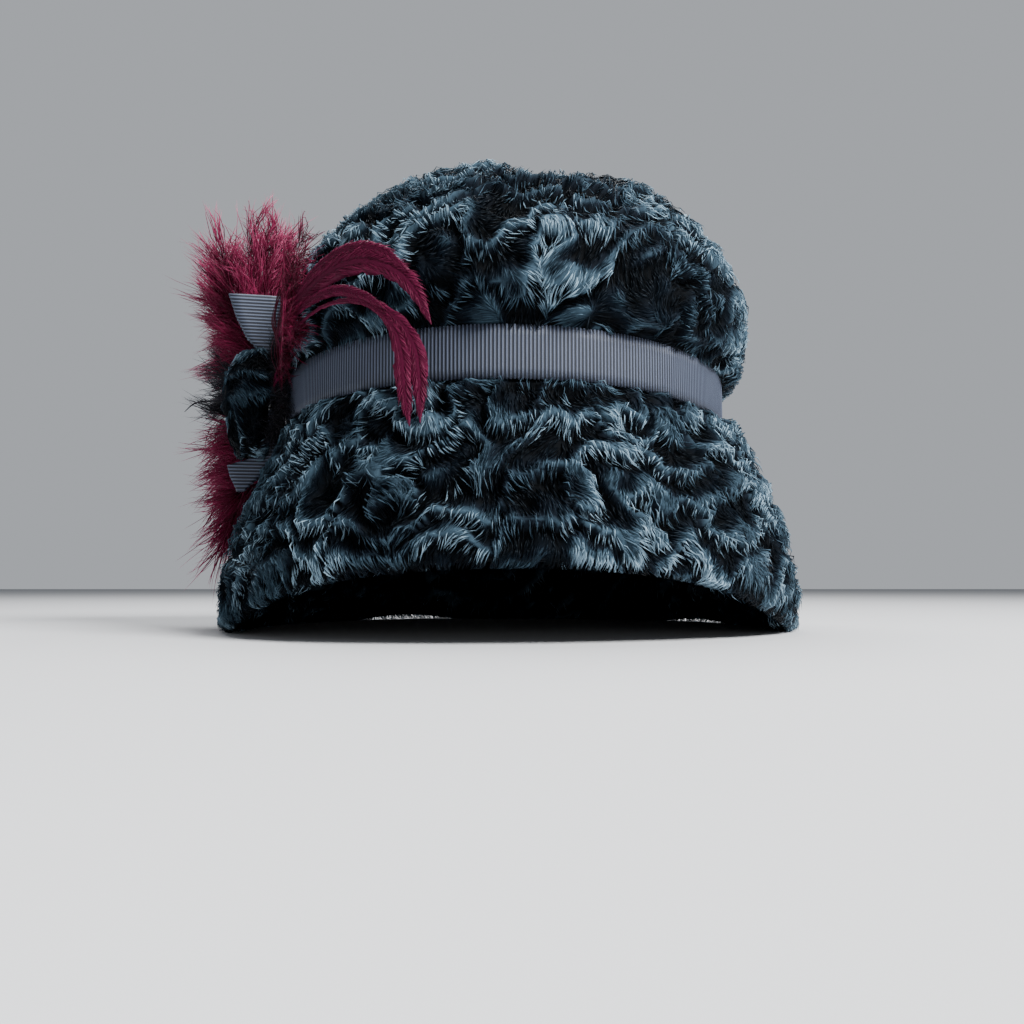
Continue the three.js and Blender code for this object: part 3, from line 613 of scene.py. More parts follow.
def crown_shell(columns, rows, back_rows):
    """Rings of the crown's pile over rows along its outline, and rings of its inside over other rows."""
    face = with_tone(crown_fur(columns, rows), painted_ground_light(crown_cloth(columns, rows)))
    inside = with_tone(lifted(crown_cloth, columns, back_rows, -CLOTH + 0 * back_rows), 0)
    return face, inside


SIDE_FOOT = 2.8 - BAND_WIDTH
side_columns = np.linspace(-np.pi, np.pi, 400, endpoint=False)[None]
side_rows = np.concatenate([[SIDE_FOOT], np.linspace(0, TIP_SEAM - GAP / 2, 60)])[:, None]
side_back = np.linspace(TIP_SEAM - GAP / 2, SIDE_FOOT, 8)[:, None]
side_skin = closed_skin(np.concatenate(crown_shell(side_columns, side_rows, side_back)), looped=True)
side = make_piece("crown_side_cloth", *side_skin, fur_ground, ("tone",))
back_with_weave(side, len(side_rows), side_columns.size)
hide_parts("crown_side")
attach(side, "root")
side_pile = make_piece("crown_side_pile", *pile(
    crown_cloth, crown_fur, (1, TIP_SEAM), 27500, 41, reach=(-2, TIP_SEAM + 8)), fur_fibre, ("tone",))
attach(side_pile, "root")

TIP_END = crown_run[-1] - 0.8
tip_columns = np.linspace(-np.pi, np.pi, 260, endpoint=False)[None]
tip_rows = np.linspace(TIP_SEAM + GAP / 2, TIP_END, 44)[:, None]
tip_back = np.linspace(TIP_END, TIP_SEAM + GAP / 2, 10)[:, None]
tip_rings = np.concatenate([rings[::-1] for rings in crown_shell(tip_columns, tip_rows, tip_back)])
tip = make_piece("crown_tip_cloth", *closed_skin(tip_rings), fur_ground, ("tone",))
back_with_weave(tip, len(tip_rows), tip_columns.size)
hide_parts("crown_tip")
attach(tip, "root")
tip_pile = make_piece("crown_tip_pile", *pile(
    crown_cloth, crown_fur, (TIP_SEAM, crown_run[-1] - 2), 11000, 42,
    reach=(TIP_SEAM - 8, crown_run[-1])), fur_fibre, ("tone",))
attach(tip_pile, "root")

# Brim
# Two layers of the same fur cloth, sewn under the band, which swell outward in a bell and meet in a soft
# rolled edge. The sides and the back of the edge lie on the surface, and the front arches over the brow.

BRIM_REACH = 22
FRONT_RISE = 28
EDGE_SQUASH = 3
EDGE_ROLL = 0.22
EDGE_BLUNTNESS = 0.2
EDGE_OVERHANG = 3
EDGE_WRAP = 3.6
BAND_LAP = 2.5
BRIM_WALL = BAND_LAP + 3 * GAP
BRIM_PRESS = 0.6
FACING_SHIFT = 20
BRIM_EDGE = np.array([
    # every 30 degrees from the back by way of the left: reach, rise and belly as shares
    (0.86, 0.00, 0.80), (0.96, 0.20, 0.85), (0.98, 0.00, 0.80), (0.92, 0.00, 0.70),
    (1.00, 0.34, 0.75), (1.05, 0.84, 0.70), (1.00, 1.00, 0.65), (1.04, 0.88, 0.70),
    (1.10, 0.42, 0.80), (1.10, 0.00, 0.85), (1.02, 0.18, 0.80), (0.96, 0.00, 0.80),
])


def around(column, azimuth):
    """Closed Catmull-Rom line through a column of BRIM_EDGE, whose rows are evenly spaced in azimuth."""
    values = BRIM_EDGE[:, column]
    turn = np.mod(azimuth / (2 * np.pi) + 0.5, 1) * len(values)
    row = np.floor(turn).astype(int)
    t = turn - row
    a, b, c, d = (values[(row + step) % len(values)] for step in (-1, 0, 1, 2))
    return b + 0.5 * t * (c - a + t * (2 * a - 5 * b + 4 * c - d + t * (3 * (b - c) + d - a)))


def brim_middle(azimuth, along):
    """Sheet between the brim's layers, by the distance below its seam, negative downward. It hangs straight
    under the band, then its reach is a quadratic Bezier from 0 by the belly to the edge's reach."""
    azimuth, along = np.broadcast_arrays(azimuth, along)
    below = -along - BRIM_WALL
    t = np.maximum(below / (BAND_FOOT - BRIM_WALL), 0)
    seam = oval(azimuth, -CLOTH / 2)
    foot = band_foot(seam[..., 1]) + BAND_LAP - BRIM_WALL
    seam[..., 2] = foot - np.maximum(below, 0)
    reach = BRIM_REACH * around(0, azimuth)
    belly = reach * around(2, azimuth)
    pressed = 1 - BRIM_PRESS * (1 - unpressed(seam))
    out = (2 * t * (1 - t) * belly + t * t * reach) * pressed
    edge = FRONT_RISE * around(1, azimuth) - EDGE_SQUASH
    height = np.where(below > 0, foot + (edge - foot) * t, foot - below)
    return oval(azimuth, out - CLOTH / 2, height)


def brim_fur(azimuth, along, lift, side):
    """Face of one layer: the middle sheet lifted by half the cloth, and by the pile where it has grown
    below the band, rounded off to a quarter circle near the edge and never below the surface. A fibre has
    a lift of its own, lies clear over the band's edge, and past the brim's edge it wraps round it."""
    middle = brim_middle(azimuth, along)
    below = np.broadcast_to(-along, middle.shape[:-1])
    grown = smooth(below, BRIM_WALL, BRIM_WALL + PILE_GROWTH) * unpressed(middle)
    to_edge = np.maximum((below / BAND_FOOT - 1 + EDGE_ROLL) / EDGE_ROLL, 0)
    roll = np.maximum(np.sqrt(np.maximum(1 - to_edge**2, 0)), EDGE_BLUNTNESS)
    curled = curls(middle + [0, 0, side * FACING_SHIFT])
    height = CLOTH / 2 + grown * roll * (PILE_BASE + PILE_RELIEF * curled)
    if lift is not None:
        height = np.maximum(height + grown * lift, CLOTH / 2 + OVER_BAND * (1 - grown))
        past_edge = np.maximum(below - BAND_FOOT, 0) / EDGE_WRAP
        height = height * np.sqrt(np.maximum(1 - past_edge**2, 0))
    face = lifted(brim_middle, azimuth, along, side * height)
    face[..., 2] = np.maximum(face[..., 2], 0)
    return face


def upper_fur(azimuth, along, lift=None):
    """Outer face of the brim."""
    return brim_fur(azimuth, along, lift, 1)


def facing_fur(azimuth, along, lift=None):
    """Inner face of the brim."""
    return brim_fur(azimuth, along, lift, -1)


def brim_layer(name, node, face, side, columns, rows):
    """One layer: its fur face from the seam under the band to the edge, and its woven back."""
    turn = np.linspace(-np.pi, np.pi, columns, endpoint=False)[None]
    down = -np.concatenate([[0, BRIM_WALL], np.linspace(BRIM_WALL + 1, BAND_FOOT, rows)])[:, None]
    back = -np.linspace(BAND_FOOT, 0, 8)[:, None]
    tone = painted_ground_light(brim_middle(turn, down) + [0, 0, side * FACING_SHIFT])
    behind = lifted(brim_middle, turn, back, side * GAP / 2 + 0 * back)
    behind[..., 2] = np.maximum(behind[..., 2], 0)
    rings = np.concatenate([with_tone(face(turn, down), tone), with_tone(behind, 0)])
    layer = make_piece(name, *closed_skin(rings, looped=True), fur_ground, ("tone",))
    back_with_weave(layer, len(down) + 1, columns)
    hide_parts(node)
    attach(layer, "root")


brim_layer("brim_upper_cloth", "brim_upper", upper_fur, 1, 430, 48)
brim_layer("brim_facing_cloth", "brim_facing", facing_fur, -1, 260, 30)
upper_pile = make_piece("brim_upper_pile", *pile(
    brim_middle, upper_fur, (-BAND_FOOT - 1, -4.2), 29500, 43, floor=0.2,
    reach=(-BAND_FOOT - EDGE_OVERHANG, -1.5), edge=BAND_FOOT, shift=FACING_SHIFT), fur_fibre, ("tone",))
facing_pile = make_piece("brim_facing_pile", *pile(
    brim_middle, facing_fur, (-BAND_FOOT - 1, -4.2), 5500, 44, floor=0.2,
    reach=(-BAND_FOOT - EDGE_OVERHANG, -4), edge=BAND_FOOT, shift=-FACING_SHIFT), fur_fibre, ("tone",))
edge_fringe = make_piece("brim_edge_fringe", *pile(
    brim_middle, upper_fur, (-BAND_FOOT - 2.5, -BAND_FOOT + 3), 4500, 46, floor=0.2, length=7,
    reach=(-BAND_FOOT - EDGE_WRAP, -4), edge=BAND_FOOT, shift=FACING_SHIFT), fur_fibre, ("tone",))
for brim_pile in (upper_pile, facing_pile, edge_fringe):
    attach(brim_pile, "root")

# Cockade button
# A domed button covered in the same fur cloth, over the gathered roots of the loops and feathers.

BUTTON_HEIGHT = 15
# Share of the pile's painted light that the button's foot and fibres keep: a slight painted shade on the
# button.
BUTTON_PAINTED_SHADE = 0.95
BACKING_THICKNESS = 2.4
RIBBON_WIDTH = 19
ROOT_GATHER = 0.18
LAYER = GAP + BACKING_THICKNESS + GAP
BUTTON_BACK = LAYER + ROOT_GATHER * RIBBON_WIDTH + 2 * GAP
BUTTON_ROWS = [(0.00, 0.84), (0.18, 1.00), (0.50, 0.94), (0.78, 0.74), (0.94, 0.44), (1.00, 0.00)]
OUTWARD = unit(np.array([np.sin(COCKADE_AZIMUTH) / HALF_WIDTH, -np.cos(COCKADE_AZIMUTH) / HALF_LENGTH, 0]))
UP = np.array([0.0, 0.0, 1.0])
FORWARD = np.cross(UP, OUTWARD)

button_line = smooth_line(np.array(BUTTON_ROWS) * [BUTTON_HEIGHT, BUTTON_RADIUS])
button_run = lengths(button_line)


def from_cockade(out, forward, up):
    """Point by its distances out from the band, forward along it and up, from the cockade's middle."""
    out, forward, up = np.broadcast_arrays(out, forward, up)
    return cockade_middle + out[..., None] * OUTWARD + forward[..., None] * FORWARD + up[..., None] * UP


def button_cloth(turn, along):
    """Dome of the button: its profile turned about the cockade's outward line."""
    radius = np.interp(along, button_run, button_line[:, 1])
    out = np.interp(along, button_run, button_line[:, 0])
    return from_cockade(BUTTON_BACK + out, radius * np.cos(turn), radius * np.sin(turn))


def button_fur(turn, along, lift=0.0):
    """Face of the button's pile: half as high as the crown's, a little inside and outside the dome."""
    cloth = button_cloth(turn, along)
    return lifted(button_cloth, turn, along, 0.5 * PILE_RELIEF * curls(cloth) - 1.0 + 0.7 * lift)


button_columns = np.linspace(-np.pi, np.pi, 110, endpoint=False)[None]
button_rows = np.linspace(0.6, button_run[-1] - 0.8, 34)[:, None]
button_face = with_tone(button_fur(button_columns, button_rows),
                        BUTTON_PAINTED_SHADE * painted_ground_light(button_cloth(button_columns, button_rows)))
button = make_piece("button_cloth", *closed_skin(button_face), fur_ground, ("tone",))
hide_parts("fur_button")
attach(button, "root")
button_pile = make_piece("button_pile", *pile(button_cloth, button_fur, (1, button_run[-1] - 1), 3600, 45,
                                              length=5.5, painted_dimming=BUTTON_PAINTED_SHADE), fur_fibre, ("tone",))
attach(button_pile, "root")

# Ribbon loop and tail
# The same grosgrain, folded double: a loop stands up behind the button and a folded tail hangs below it.
# The ribbon's width points away from the hat, so that its layers show edge on at the hat's side.

LOOP_HEIGHT = 41
LOOP_PLACE = 7.5
TAIL_DEPTH = 33
TAIL_PLACE = 4.5
FOLD_OPEN = 3.4
LOOP_ROWS = [
    # height as a share, near and far edge as shares of RIBBON_WIDTH
    (0.06, 0.00, 0.18), (0.45, 0.00, 0.30), (0.60, 0.00, 0.62), (0.80, 0.00, 0.84), (1.00, 0.00, 0.98),
]
TAIL_ROWS = [
    (0.06, 0.00, 0.18), (0.60, 0.06, 0.30), (0.72, 0.14, 0.96), (0.85, 0.36, 0.90), (1.00, 0.64, 0.77),
]


def folded_ribbon(name, node, rows, place, height):
    """Two layers that part smoothly towards a round fold. Up to the fold the half opening is a smooth step
    of the height; the edges' distances out are read from rows of height, near edge and far edge."""
    table = np.array(rows)
    closed = 0.5 * (BAND_THICKNESS + 2 * GAP)
    opened = 0.5 * FOLD_OPEN
    rise = np.linspace(table[0, 0], 1 - opened / abs(height), 200)
    half = closed + (opened - closed) * smooth(rise, 0.1, 0.8)
    bend = np.linspace(0, np.pi, 40)[1:-1]
    up = np.concatenate([rise, 1 + opened / abs(height) * (np.sin(bend) - 1), rise[::-1]])
    forward = np.concatenate([half, opened * np.cos(bend), -half[::-1]])
    line = np.stack([place + forward, height * up, 0 * up], axis=-1)
    count = int(lengths(line)[-1] / RIB_PITCH)
    line = resampled(line, np.linspace(0, lengths(line)[-1], count * RIB_STEPS + 1))
    share = line[:, 1] / height
    near, far = (LAYER + RIBBON_WIDTH * np.interp(share, table[:, 0], table[:, k]) for k in (1, 2))
    ahead = unit(np.gradient(line, axis=0))
    normal = ahead[:, 1:2] * FORWARD - ahead[:, :1] * UP
    rings = ribbed_ribbon(from_cockade(near, line[:, 0], line[:, 1]),
                          from_cockade(far, line[:, 0], line[:, 1]), normal)
    made = make_piece(name, *closed_skin(rings), slate_grosgrain, ("along", "across", "rib"))
    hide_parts(node)
    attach(made, "root")


folded_ribbon("ribbon_loop", "loop_upper", LOOP_ROWS, LOOP_PLACE, LOOP_HEIGHT)
folded_ribbon("ribbon_tail", "loop_lower", TAIL_ROWS, TAIL_PLACE, -TAIL_DEPTH)

# Marabou plume and black tuft
# Downy dyed feathers glued to a round backing under the button: burgundy fans above, behind and below it,
# and a small black bunch with one bare curved strand. Their long soft barbs lie in wisps, and a collar of
# black down fills the gap between the button and the band.

BACKING_RADIUS = 12
BUTTON_CURLS = 1.1
PLUME_LENGTH = 66
LOCK_WIDTH = 9
SHADED_WIDTH = 2
TUFT_LENGTH = 34
TUFT_WIDTH = 5
STRAND_LENGTH = 62
PLUME_FANS = [
    # first and last angle from straight up, quills, length as a share, splay outward, place forward
    (-66, -6, 12, 0.80, -10, -5), (-62, -4, 12, 0.80, 10, -5), (-60, -8, 11, 0.78, 30, -5),
    (-58, -14, 8, 0.72, 50, -5), (194, 226, 7, 0.44, 34, -4), (222, 268, 12, 0.48, 48, -5),
]
SHADED_FANS = [(34, 72, 13, 0.46, -16, 6), (32, 46, 4, 0.66, -14, 6)]
TUFT_FANS = [(-74, -48, 5, 0.92, 54, -5), (-84, -60, 4, 0.84, 64, -5)]
COLLAR_QUILLS = 24
QUILL_SCATTER = 2
SPLAY_SCATTER = 9
QUILL_BOW = 0.06
QUILL_DROOP = 0.05
WISP_LEAN = 48
WISP_CLOSING = 24
STRAY_SHARE = 0.25
DOWN_BARB_WIDTH = 0.3
PRESSED_SHARE = 0.9
LOWEST_BARB = 0.5


def clear_of_fur(points, margin):
    """Points moved straight out from the hat's axis until they clear the pile by a margin. The pile's reach
    at a height is read from the outline of the brim and the crown on the point's azimuth."""
    azimuth = np.arctan2(points[:, 0] / HALF_WIDTH, -points[:, 1] / HALF_LENGTH)[:, None]
    line = np.concatenate([brim_middle(azimuth, np.linspace(-BAND_FOOT, 0, 25)[None]),
                           crown_cloth(azimuth, np.linspace(0, crown_run[-1], 25)[None, :-1])], axis=1)
    girth = np.hypot(line[..., 0] / HALF_WIDTH, line[..., 1] / HALF_LENGTH)
    reach = np.array([np.interp(z, heights, girths) for z, heights, girths
                      in zip(points[:, 2], line[..., 2], girth)])
    from_band = np.abs(points[:, 2] - band_foot(points[:, 1]) - BAND_WIDTH / 2)
    grown = smooth(from_band, BAND_WIDTH / 2, BAND_WIDTH / 2 + PILE_GROWTH)
    reach = reach * HALF_WIDTH + (PILE_BASE + PILE_RELIEF) * grown
    outward = np.hypot(points[:, 0] / HALF_WIDTH, points[:, 1] / HALF_LENGTH) * HALF_WIDTH
    scale = np.maximum((reach + margin) / outward, 1)
    return points * np.stack([scale, scale, np.ones_like(scale)], axis=-1)


def quills(fans, root, out, start, neck, length, width, seed):
    """Quill lines that pass under the button's rim, then leave in fans, bowed outward and drooping. Each
    quill's angle, length and splay is its fan's own with a small seeded change."""
    random = np.random.default_rng(seed)
    rim = BUTTON_RADIUS + BUTTON_CURLS + 0.5 * neck * width + GAP
    lines = []
    for first, last, count, share, splay, forward in fans:
        angle = np.linspace(first, last, count) + random.normal(0, QUILL_SCATTER, count)
        angle = np.radians(angle)[:, None]
        reach = length * share * random.uniform(0.86, 1.04, count)[:, None]
        s = np.array([0.34, 0.68, 1.0])[None]
        lean = np.radians(splay + random.normal(0, SPLAY_SCATTER, count))[:, None] * (1 - 0.3 * s)
        free_out = out + reach * s * np.sin(lean) + QUILL_BOW * reach * np.sin(np.pi * s)
        run = rim + reach * s * np.cos(lean)
        free = from_cockade(free_out, forward + run * np.sin(angle), run * np.cos(angle))
        free[..., 2] -= QUILL_DROOP * reach * s * s
        free = clear_of_fur(free.reshape(-1, 3), 0.5 * width + 1).reshape(free.shape)
        under = [from_cockade(place, forward + at * np.sin(angle), at * np.cos(angle))
                 for place, at in ((root, start), (out, rim))]
        lines.append(np.concatenate([*under, free], axis=1))
    return np.concatenate(lines)


def downy_barbs(lines, wisps, barbs, length, seed, painted_dimming=1.0, pressed=None):
    """Barbs of downy feathers. On each quill line, wisps start at seeded places and lean out from the line
    by an angle that falls towards its end. The barbs of a wisp start apart and end almost together, and one
    in four strays. Barbs brighten to their tips and towards the end of the quill, all times a factor of
    painted shade for the whole set. Pressed is a direction from the cockade's middle and the distance past
    which barbs lie almost flat."""
    random = np.random.default_rng(seed)
    path = smooth_line(lines.transpose(1, 0, 2), 12)
    count, stops = len(lines), len(path)
    at = random.beta(1.5, 1.0, (count, wisps))
    station = np.clip((0.20 + 0.80 * at) * (stops - 1), 0, stops - 1.001)

    def along(place):
        place = np.clip(place, 0, stops - 1.001)
        low = place.astype(int)
        part = (place - low)[..., None]
        which = np.broadcast_to(np.arange(count).reshape(count, *[1] * (place.ndim - 1)), place.shape)
        return path[low, which] * (1 - part) + path[low + 1, which] * part

    ahead = unit(along(station + 1) - along(station - 1))
    side = unit(np.cross(ahead, random.normal(size=ahead.shape)))
    lean = np.radians(WISP_LEAN - WISP_CLOSING * at + random.normal(0, 9, at.shape))[..., None]
    heading = ahead * np.cos(lean) + side * np.sin(lean)
    reach = (length * random.uniform(0.6, 1.1, at.shape))[..., None]
    end = along(station) + heading * reach - [0, 0, 0.06] * reach
    shape = (count, wisps, barbs)
    roots = along(station[..., None] + random.normal(0, 1.6, shape))
    stray = np.where(random.uniform(size=(*shape, 1)) < STRAY_SHARE, 3.4, 1.4)
    tips = end[:, :, None] + stray * random.normal(size=(*shape, 3))
    tips += heading[:, :, None] * random.normal(0, 1.8, (*shape, 1))
    bow = ahead[:, :, None] * random.uniform(0.5, 2.5, (*shape, 1)) + random.normal(0, 1.3, (*shape, 3))
    stations = [roots, roots + (tips - roots) * 0.36 + bow, roots + (tips - roots) * 0.72 + 0.7 * bow, tips]
    stations = np.stack(stations, axis=-2).reshape(-1, 4, 3)
    stations[..., 2] = np.maximum(stations[..., 2], LOWEST_BARB)
    if pressed is not None:
        direction, most = pressed
        past = np.maximum((stations - cockade_middle) @ direction - most, 0)
        stations -= PRESSED_SHARE * past[..., None] * direction
    # Random tone of each barb, times the painted shade given for the whole set.
    shade = painted_dimming * random.uniform(0.7, 1.15, (len(stations), 1))
    outer = np.repeat(at.ravel(), barbs)[:, None]
    tone = np.array([[0.05, 0.3, 0.65, 1.0]]) * shade * (0.5 + 0.5 * outer)
    normal = unit(random.normal(size=(len(stations), 3)))
    width = DOWN_BARB_WIDTH * random.uniform(0.6, 1.3, len(stations))
    return fibres(stations, normal, width, tone, (1.0, 0.75))


def joined(*skins):
    """Several sets of points and triangles as one."""
    starts = np.cumsum([0] + [len(points) for points, _ in skins[:-1]])
    triangles = [triangles + start for (_, triangles), start in zip(skins, starts)]
    return np.concatenate([points for points, _ in skins]), np.concatenate(triangles)


def rods(lines, radii, tone=0.2, sides=5):
    """Thin round tapered rods along lines of points."""
    skins = []
    for line in lines:
        path = smooth_line(line, 4)
        ahead = unit(np.gradient(path, axis=0))
        across = unit(np.cross(ahead, OUTWARD))
        over = np.cross(ahead, across)
        turn = 2 * np.pi * np.arange(sides) / sides
        radius = np.interp(np.linspace(0, 1, len(path)), np.linspace(0, 1, len(radii)), radii)
        spokes = across[:, None] * np.cos(turn)[:, None] + over[:, None] * np.sin(turn)[:, None]
        rings = path[:, None] + radius[:, None, None] * spokes
        skins.append(closed_skin(with_tone(rings, tone)))
    return joined(*skins)


def feather_material(name, stops, roughness):
    """Dyed feather: deep at the quill and lighter at the tips, silky at a low angle."""
    material, shader = plain_material(name, stops[1][1], roughness)
    silk = 0.4 + 0.6 * np.array(stops[-1][1]) / max(stops[-1][1])
    shader.inputs["Specular IOR Level"].default_value = 0.12
    shader.inputs["Sheen Weight"].default_value = 0.06
    shader.inputs["Sheen Roughness"].default_value = 0.3
    shader.inputs["Sheen Tint"].default_value = (*silk, 1)
    return toned(material, (260, 0.15, 0.0002, 2.0), stops, 0.2)


burgundy_down = feather_material("burgundy_down", [
    (0.0, (0.026, 0.001, 0.006)), (0.45, (0.17, 0.006, 0.042)), (1.0, (0.62, 0.130, 0.260))], 0.55)
black_down = feather_material("black_down", [
    (0.0, (0.004, 0.004, 0.006)), (0.5, (0.020, 0.020, 0.028)), (1.0, (0.11, 0.10, 0.125))], 0.5)

plume_neck = 0.26
plume_quills = quills(PLUME_FANS, GAP + BACKING_THICKNESS / 2, LAYER + 0.5 * plume_neck * LOCK_WIDTH,
                      0.4 * BACKING_RADIUS, plume_neck, PLUME_LENGTH, LOCK_WIDTH, 50)
shaded_quills = quills(SHADED_FANS, GAP + BACKING_THICKNESS / 2, LAYER, 0.4 * BACKING_RADIUS,
                       plume_neck, PLUME_LENGTH, SHADED_WIDTH, 55)
backing_turn = np.linspace(0, 2 * np.pi, 24, endpoint=False)
backing_rings = np.stack([from_cockade(out, BACKING_RADIUS * np.cos(backing_turn),
                                       BACKING_RADIUS * np.sin(backing_turn))
                          for out in (GAP, GAP + BACKING_THICKNESS)])
plume_skin = joined(
    closed_skin(with_tone(backing_rings, 0)),
    rods(plume_quills, (0.5, 0.45, 0.3, 0.2, 0.08)),
    # The shaded quills and their barbs are painted darker: painted shade where they lie close against the
    # crown.
    rods(shaded_quills, (0.25, 0.2, 0.15, 0.1, 0.06), 0.05),
    downy_barbs(plume_quills, 13, 16, 22, 51, pressed=(FORWARD, LOOP_PLACE - FOLD_OPEN)),
    downy_barbs(shaded_quills, 12, 11, 10, 56, painted_dimming=0.45, pressed=(OUTWARD, 0.5 * LAYER)))
plume = make_piece("marabou_plume", *plume_skin, burgundy_down, ("tone",))
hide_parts("plume")
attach(plume, "root")

tuft_middle = (LAYER + BUTTON_BACK) / 2
tuft_quills = quills(TUFT_FANS, tuft_middle, tuft_middle, BACKING_RADIUS / 3, 0.44,
                     TUFT_LENGTH, TUFT_WIDTH, 53)
STRAND_ROWS = np.array([
    # back, out and up, as shares of STRAND_LENGTH
    (0.00, 0.00, 0.00), (0.24, 0.01, 0.03), (0.40, 0.20, 0.09), (0.49, 0.48, 0.10), (0.50, 0.58, 0.03),
])
strand_line = from_cockade(tuft_middle + STRAND_ROWS[:, 1] * STRAND_LENGTH,
                           -BACKING_RADIUS / 2 - STRAND_ROWS[:, 0] * STRAND_LENGTH,
                           1 + STRAND_ROWS[:, 2] * STRAND_LENGTH)
collar_turn = np.linspace(0, 2 * np.pi, COLLAR_QUILLS, endpoint=False)[:, None]
collar_reach = np.linspace(BACKING_RADIUS / 2, BUTTON_RADIUS, 4)[None]
collar_rings = np.array([0.25 * LAYER, 0.9 * LAYER, 0.65 * BUTTON_BACK])
collar_out = collar_rings[np.arange(COLLAR_QUILLS) % len(collar_rings), None]
collar = from_cockade(collar_out, collar_reach * np.sin(collar_turn), collar_reach * np.cos(collar_turn))
tuft_skin = joined(
    rods(tuft_quills, (0.4, 0.4, 0.3, 0.2, 0.08)),
    rods([strand_line], (0.5, 0.55, 0.5, 0.4, 0.12)),
    downy_barbs(tuft_quills, 9, 22, 19, 52),
    # The collar's down is painted darker: painted shade under the button.
    downy_barbs(collar, 7, 15, 9, 54, painted_dimming=0.3))
tuft = make_piece("black_tuft_down", *tuft_skin, black_down, ("tone",))
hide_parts("black_tuft")
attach(tuft, "root")

# Hackles
# Two slim burgundy cock's feathers laid over the fur: one arches over the crown above the band, the other
# falls over the band to a forked tip on the brim. Each has a fine shaft and close barbs on both sides.

HACKLE_WIDTH = 11
HACKLE_CUP = 0.2
QUILL_MARGIN = 2
VANE_STEP = 0.8
VANE_COLUMNS = 9
VANE_THICKNESS = 0.24
BARB_ANGLE = np.radians(28)
LOOSE_BARB_PITCH = 0.5
BRIDGE = 13
NOTCH_PITCH = 7
NOTCH_DEPTH = 0.25
RIDGE_PITCH = 1.7
RIDGE_HEIGHT = 0.16
BLADES_OVER_CROWN = [
    # azimuth, height over the band's middle as a share of its width, blade as a share of HACKLE_WIDTH
    [(-57, 1.10, 0.30), (-47, 1.48, 0.55), (-37, 1.76, 0.72), (-28, 1.78, 0.76), (-20.5, 1.48, 0.62),
     (-16, 1.00, 0.40), (-12.8, 0.35, 0.0)],
    [(-48, 1.66, 0.10), (-40, 1.98, 0.30), (-31, 2.10, 0.40), (-23, 1.88, 0.34), (-17, 1.36, 0.0)],
    [(-50, 1.16, 0.10), (-42, 1.34, 0.30), (-34, 1.36, 0.36), (-27, 1.10, 0.28), (-22, 0.76, 0.0)],
]
BLADES_OVER_BRIM = [
    [(-57, 0.55, 0.08), (-46, 0.98, 0.10), (-36, 1.14, 0.14), (-27, 0.98, 0.20), (-21.5, 0.52, 0.34),
     (-19.2, 0.02, 0.60), (-18.2, -0.46, 0.60), (-17.2, -0.98, 0.34), (-16.2, -1.50, 0.0)],
    [(-34, 1.16, 0.10), (-26, 1.00, 0.22), (-19.5, 0.52, 0.40), (-16.4, 0.00, 0.56), (-15.2, -0.46, 0.54),
     (-14.6, -0.94, 0.32), (-14.4, -1.42, 0.0)],
]


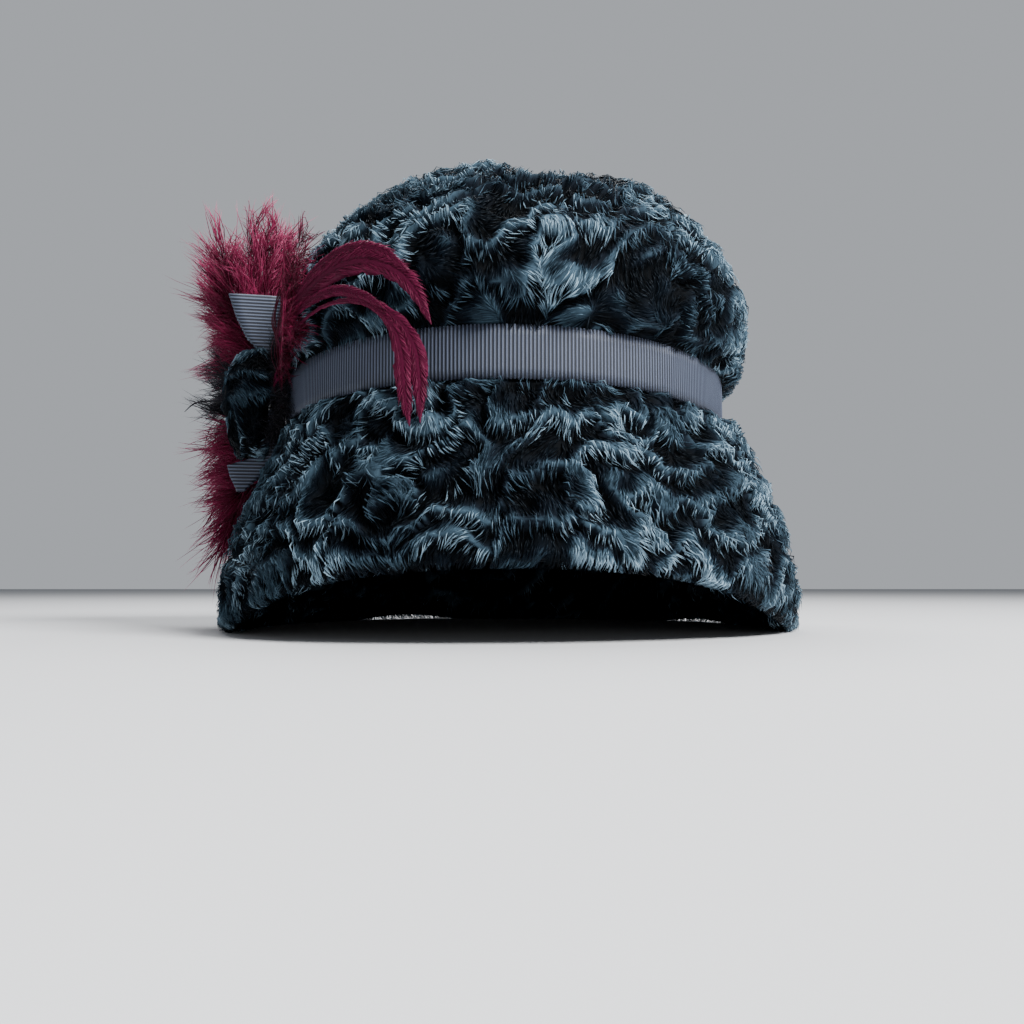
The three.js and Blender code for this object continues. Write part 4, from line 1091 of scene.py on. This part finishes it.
def vane(rows, quill_up, seed):
    """A blade along stations over the fur: a thin closed leaf with a cup across it, which bridges the dip
    over the band. Its half width is read from the rows, its middle carries a round shaft, and loose barbs
    run out past both edges. Channels: tone, the place where a point's slanting barb leaves the shaft, and
    the place across from -1 to 1."""
    table = np.array(rows)
    stations = oval(np.radians(table[:, 0]), 0)
    stations[:, 2] = band_foot(stations[:, 1]) + (0.5 + table[:, 1]) * BAND_WIDTH
    blade = table[:, 2]
    if quill_up is not None:
        quill = from_cockade(LAYER + np.array([0.5, 0.8]),
                             np.array([BACKING_RADIUS - QUILL_MARGIN, BUTTON_RADIUS + QUILL_MARGIN]),
                             quill_up * np.array([1, 2.2]))
        stations = np.concatenate([quill, stations])
        blade = np.concatenate([[0.08, 0.12], blade])
    line = smooth_line(np.concatenate([stations, blade[:, None]], axis=1))
    run = np.arange(0, lengths(line)[-1], VANE_STEP)
    shaft = resampled(line, run)
    clear = clear_of_fur(shaft[:, :3], 1.5)
    girth = np.linalg.norm(clear[:, :2] / [HALF_WIDTH, HALF_LENGTH], axis=1)
    near = np.abs(run[:, None] - run[None])
    bridged = np.where(near < BRIDGE, girth[None], 0).max(axis=1)
    soften = np.exp(-((near / BRIDGE) ** 2))
    bridged = (soften @ bridged) / soften.sum(axis=1)
    free = 1 if quill_up is None else smooth(run, BUTTON_RADIUS / 2, 1.5 * BUTTON_RADIUS)[:, None]
    shaft[:, :2] += (clear[:, :2] * (bridged / girth)[:, None] - shaft[:, :2]) * free
    place = shaft[:, None, :3]
    wide = 0.5 * HACKLE_WIDTH * np.maximum(shaft[:, 3], 0.02)[:, None, None]
    ahead = unit(np.gradient(shaft[:, :3], axis=0))
    off = unit(shaft[:, :3] / [HALF_WIDTH, HALF_LENGTH, np.inf])
    over = unit(off - ahead * (off * ahead).sum(-1, keepdims=True))
    across = np.cross(ahead, over)[:, None]
    over = over[:, None]
    s = np.linspace(-1, 1, VANE_COLUMNS)
    s = np.concatenate([s, s[::-1]])[None, :, None]
    face = np.repeat([1, -1], VANE_COLUMNS)[None, :, None]
    barb = run[:, None, None] - np.abs(s) * wide / np.tan(BARB_ANGLE)
    notch_place = np.concatenate([barb, 60 * np.sign(s) + 0 * barb, seed + 0 * barb], axis=-1)
    notch = waves(notch_place, NOTCH_PITCH, seed)[..., None]
    trim = 1 - NOTCH_DEPTH * np.abs(s) ** 3 * smooth(notch, 0.3, 1.6)
    thick = VANE_THICKNESS * (0.5 + 0.9 * np.exp(-((s * wide / 0.5) ** 2)))
    ridge = RIDGE_HEIGHT * waves(barb * [1, 0, 0], RIDGE_PITCH, seed + 5)[..., None] * np.abs(s)
    height = face * thick * (np.abs(s) < 0.99) - HACKLE_CUP * wide * s * s + ridge
    rings = place + across * s * wide * trim + over * height
    tone = 0.34 + 0.14 * notch * np.abs(s) + 0.2 * (np.abs(s) - 0.5)
    leaf = closed_skin(np.concatenate([rings, tone, barb, s + 0 * barb], axis=-1))
    random = np.random.default_rng(seed)
    root = np.arange(0, run[-1] - 2, LOOSE_BARB_PITCH)
    skins = [leaf]
    for side in (-1, 1):
        at = np.clip(root + random.normal(0, 0.3, root.size), 0, run[-1] - 2)
        start, sideways, up, forth, half = (read_at(at, run, known) for known in (
            shaft[:, :3], across[:, 0], over[:, 0], ahead, wide[:, 0]))
        angle = BARB_ANGLE * random.uniform(0.6, 1.05, (root.size, 1))
        reach = half * random.uniform(0.80, 1.08, half.shape) / np.sin(BARB_ANGLE)
        way = side * sideways * np.sin(angle) + forth * np.cos(angle)
        sag = HACKLE_CUP * half
        lift = VANE_THICKNESS + random.uniform(0, 0.35, half.shape)
        stations = [start, start + way * reach * 0.5 + up * (lift - 0.25 * sag),
                    start + way * reach * 0.8 + up * (lift - 0.7 * sag),
                    start + (way * 0.9 + forth * 0.15) * reach * 1.1 + up * (lift - 1.4 * sag)]
        shades = np.array([[0.2, 0.38, 0.5, 0.6]]) * random.uniform(0.6, 1.2, (root.size, 1))
        points, faces = fibres(np.stack(stations, axis=1), up, 0.5 * np.clip(half[:, 0] / 2, 0.4, 1),
                               shades, (1.0, 0.8), 0.3)
        skins.append((np.concatenate([points, np.zeros((len(points), 2))], axis=1), faces))
    return joined(*skins)


def hackle_material():
    """Satin cock's feather: fine slanting barbs as streaks of colour and relief, darker at the shaft."""
    material, shader = plain_material("burgundy_hackle", (0.12, 0.01, 0.03), 0.45)
    shader.inputs["Specular IOR Level"].default_value = 0.2
    shader.inputs["Specular Tint"].default_value = (1.0, 0.45, 0.60, 1)
    nodes = material.node_tree.nodes
    lie = nodes.new("ShaderNodeCombineXYZ")
    material.node_tree.links.new(attribute_socket(material, "barb"), lie.inputs["X"])
    material.node_tree.links.new(attribute_socket(material, "side"), lie.inputs["Y"])
    streaks = noise_bump(material, lie.outputs["Vector"], 1.0, 0.4, 0.0003, 3.0, (1.2, 0.4, 1))
    dye = [(0.0, (0.022, 0.001, 0.008)), (0.45, (0.088, 0.006, 0.028)), (1.0, (0.26, 0.026, 0.085))]
    ramp_colour(material, attribute_socket(material, "tone"), dye, streaks.outputs["Fac"], 0.7)
    return material


burgundy_hackle = hackle_material()
HACKLES = [
    ("hackle_over_crown", "hackle_upper", BLADES_OVER_CROWN, 3.8, 61),
    ("hackle_over_brim", "hackle_lower", BLADES_OVER_BRIM, 2.6, 71),
]
for name, node, blades, quill_up, seed in HACKLES:
    skins = [vane(rows, None if k else quill_up, seed + k) for k, rows in enumerate(blades)]
    feather = make_piece(name, *joined(*skins), burgundy_hackle, ("tone", "barb", "side"))
    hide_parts(node)
    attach(feather, "root")
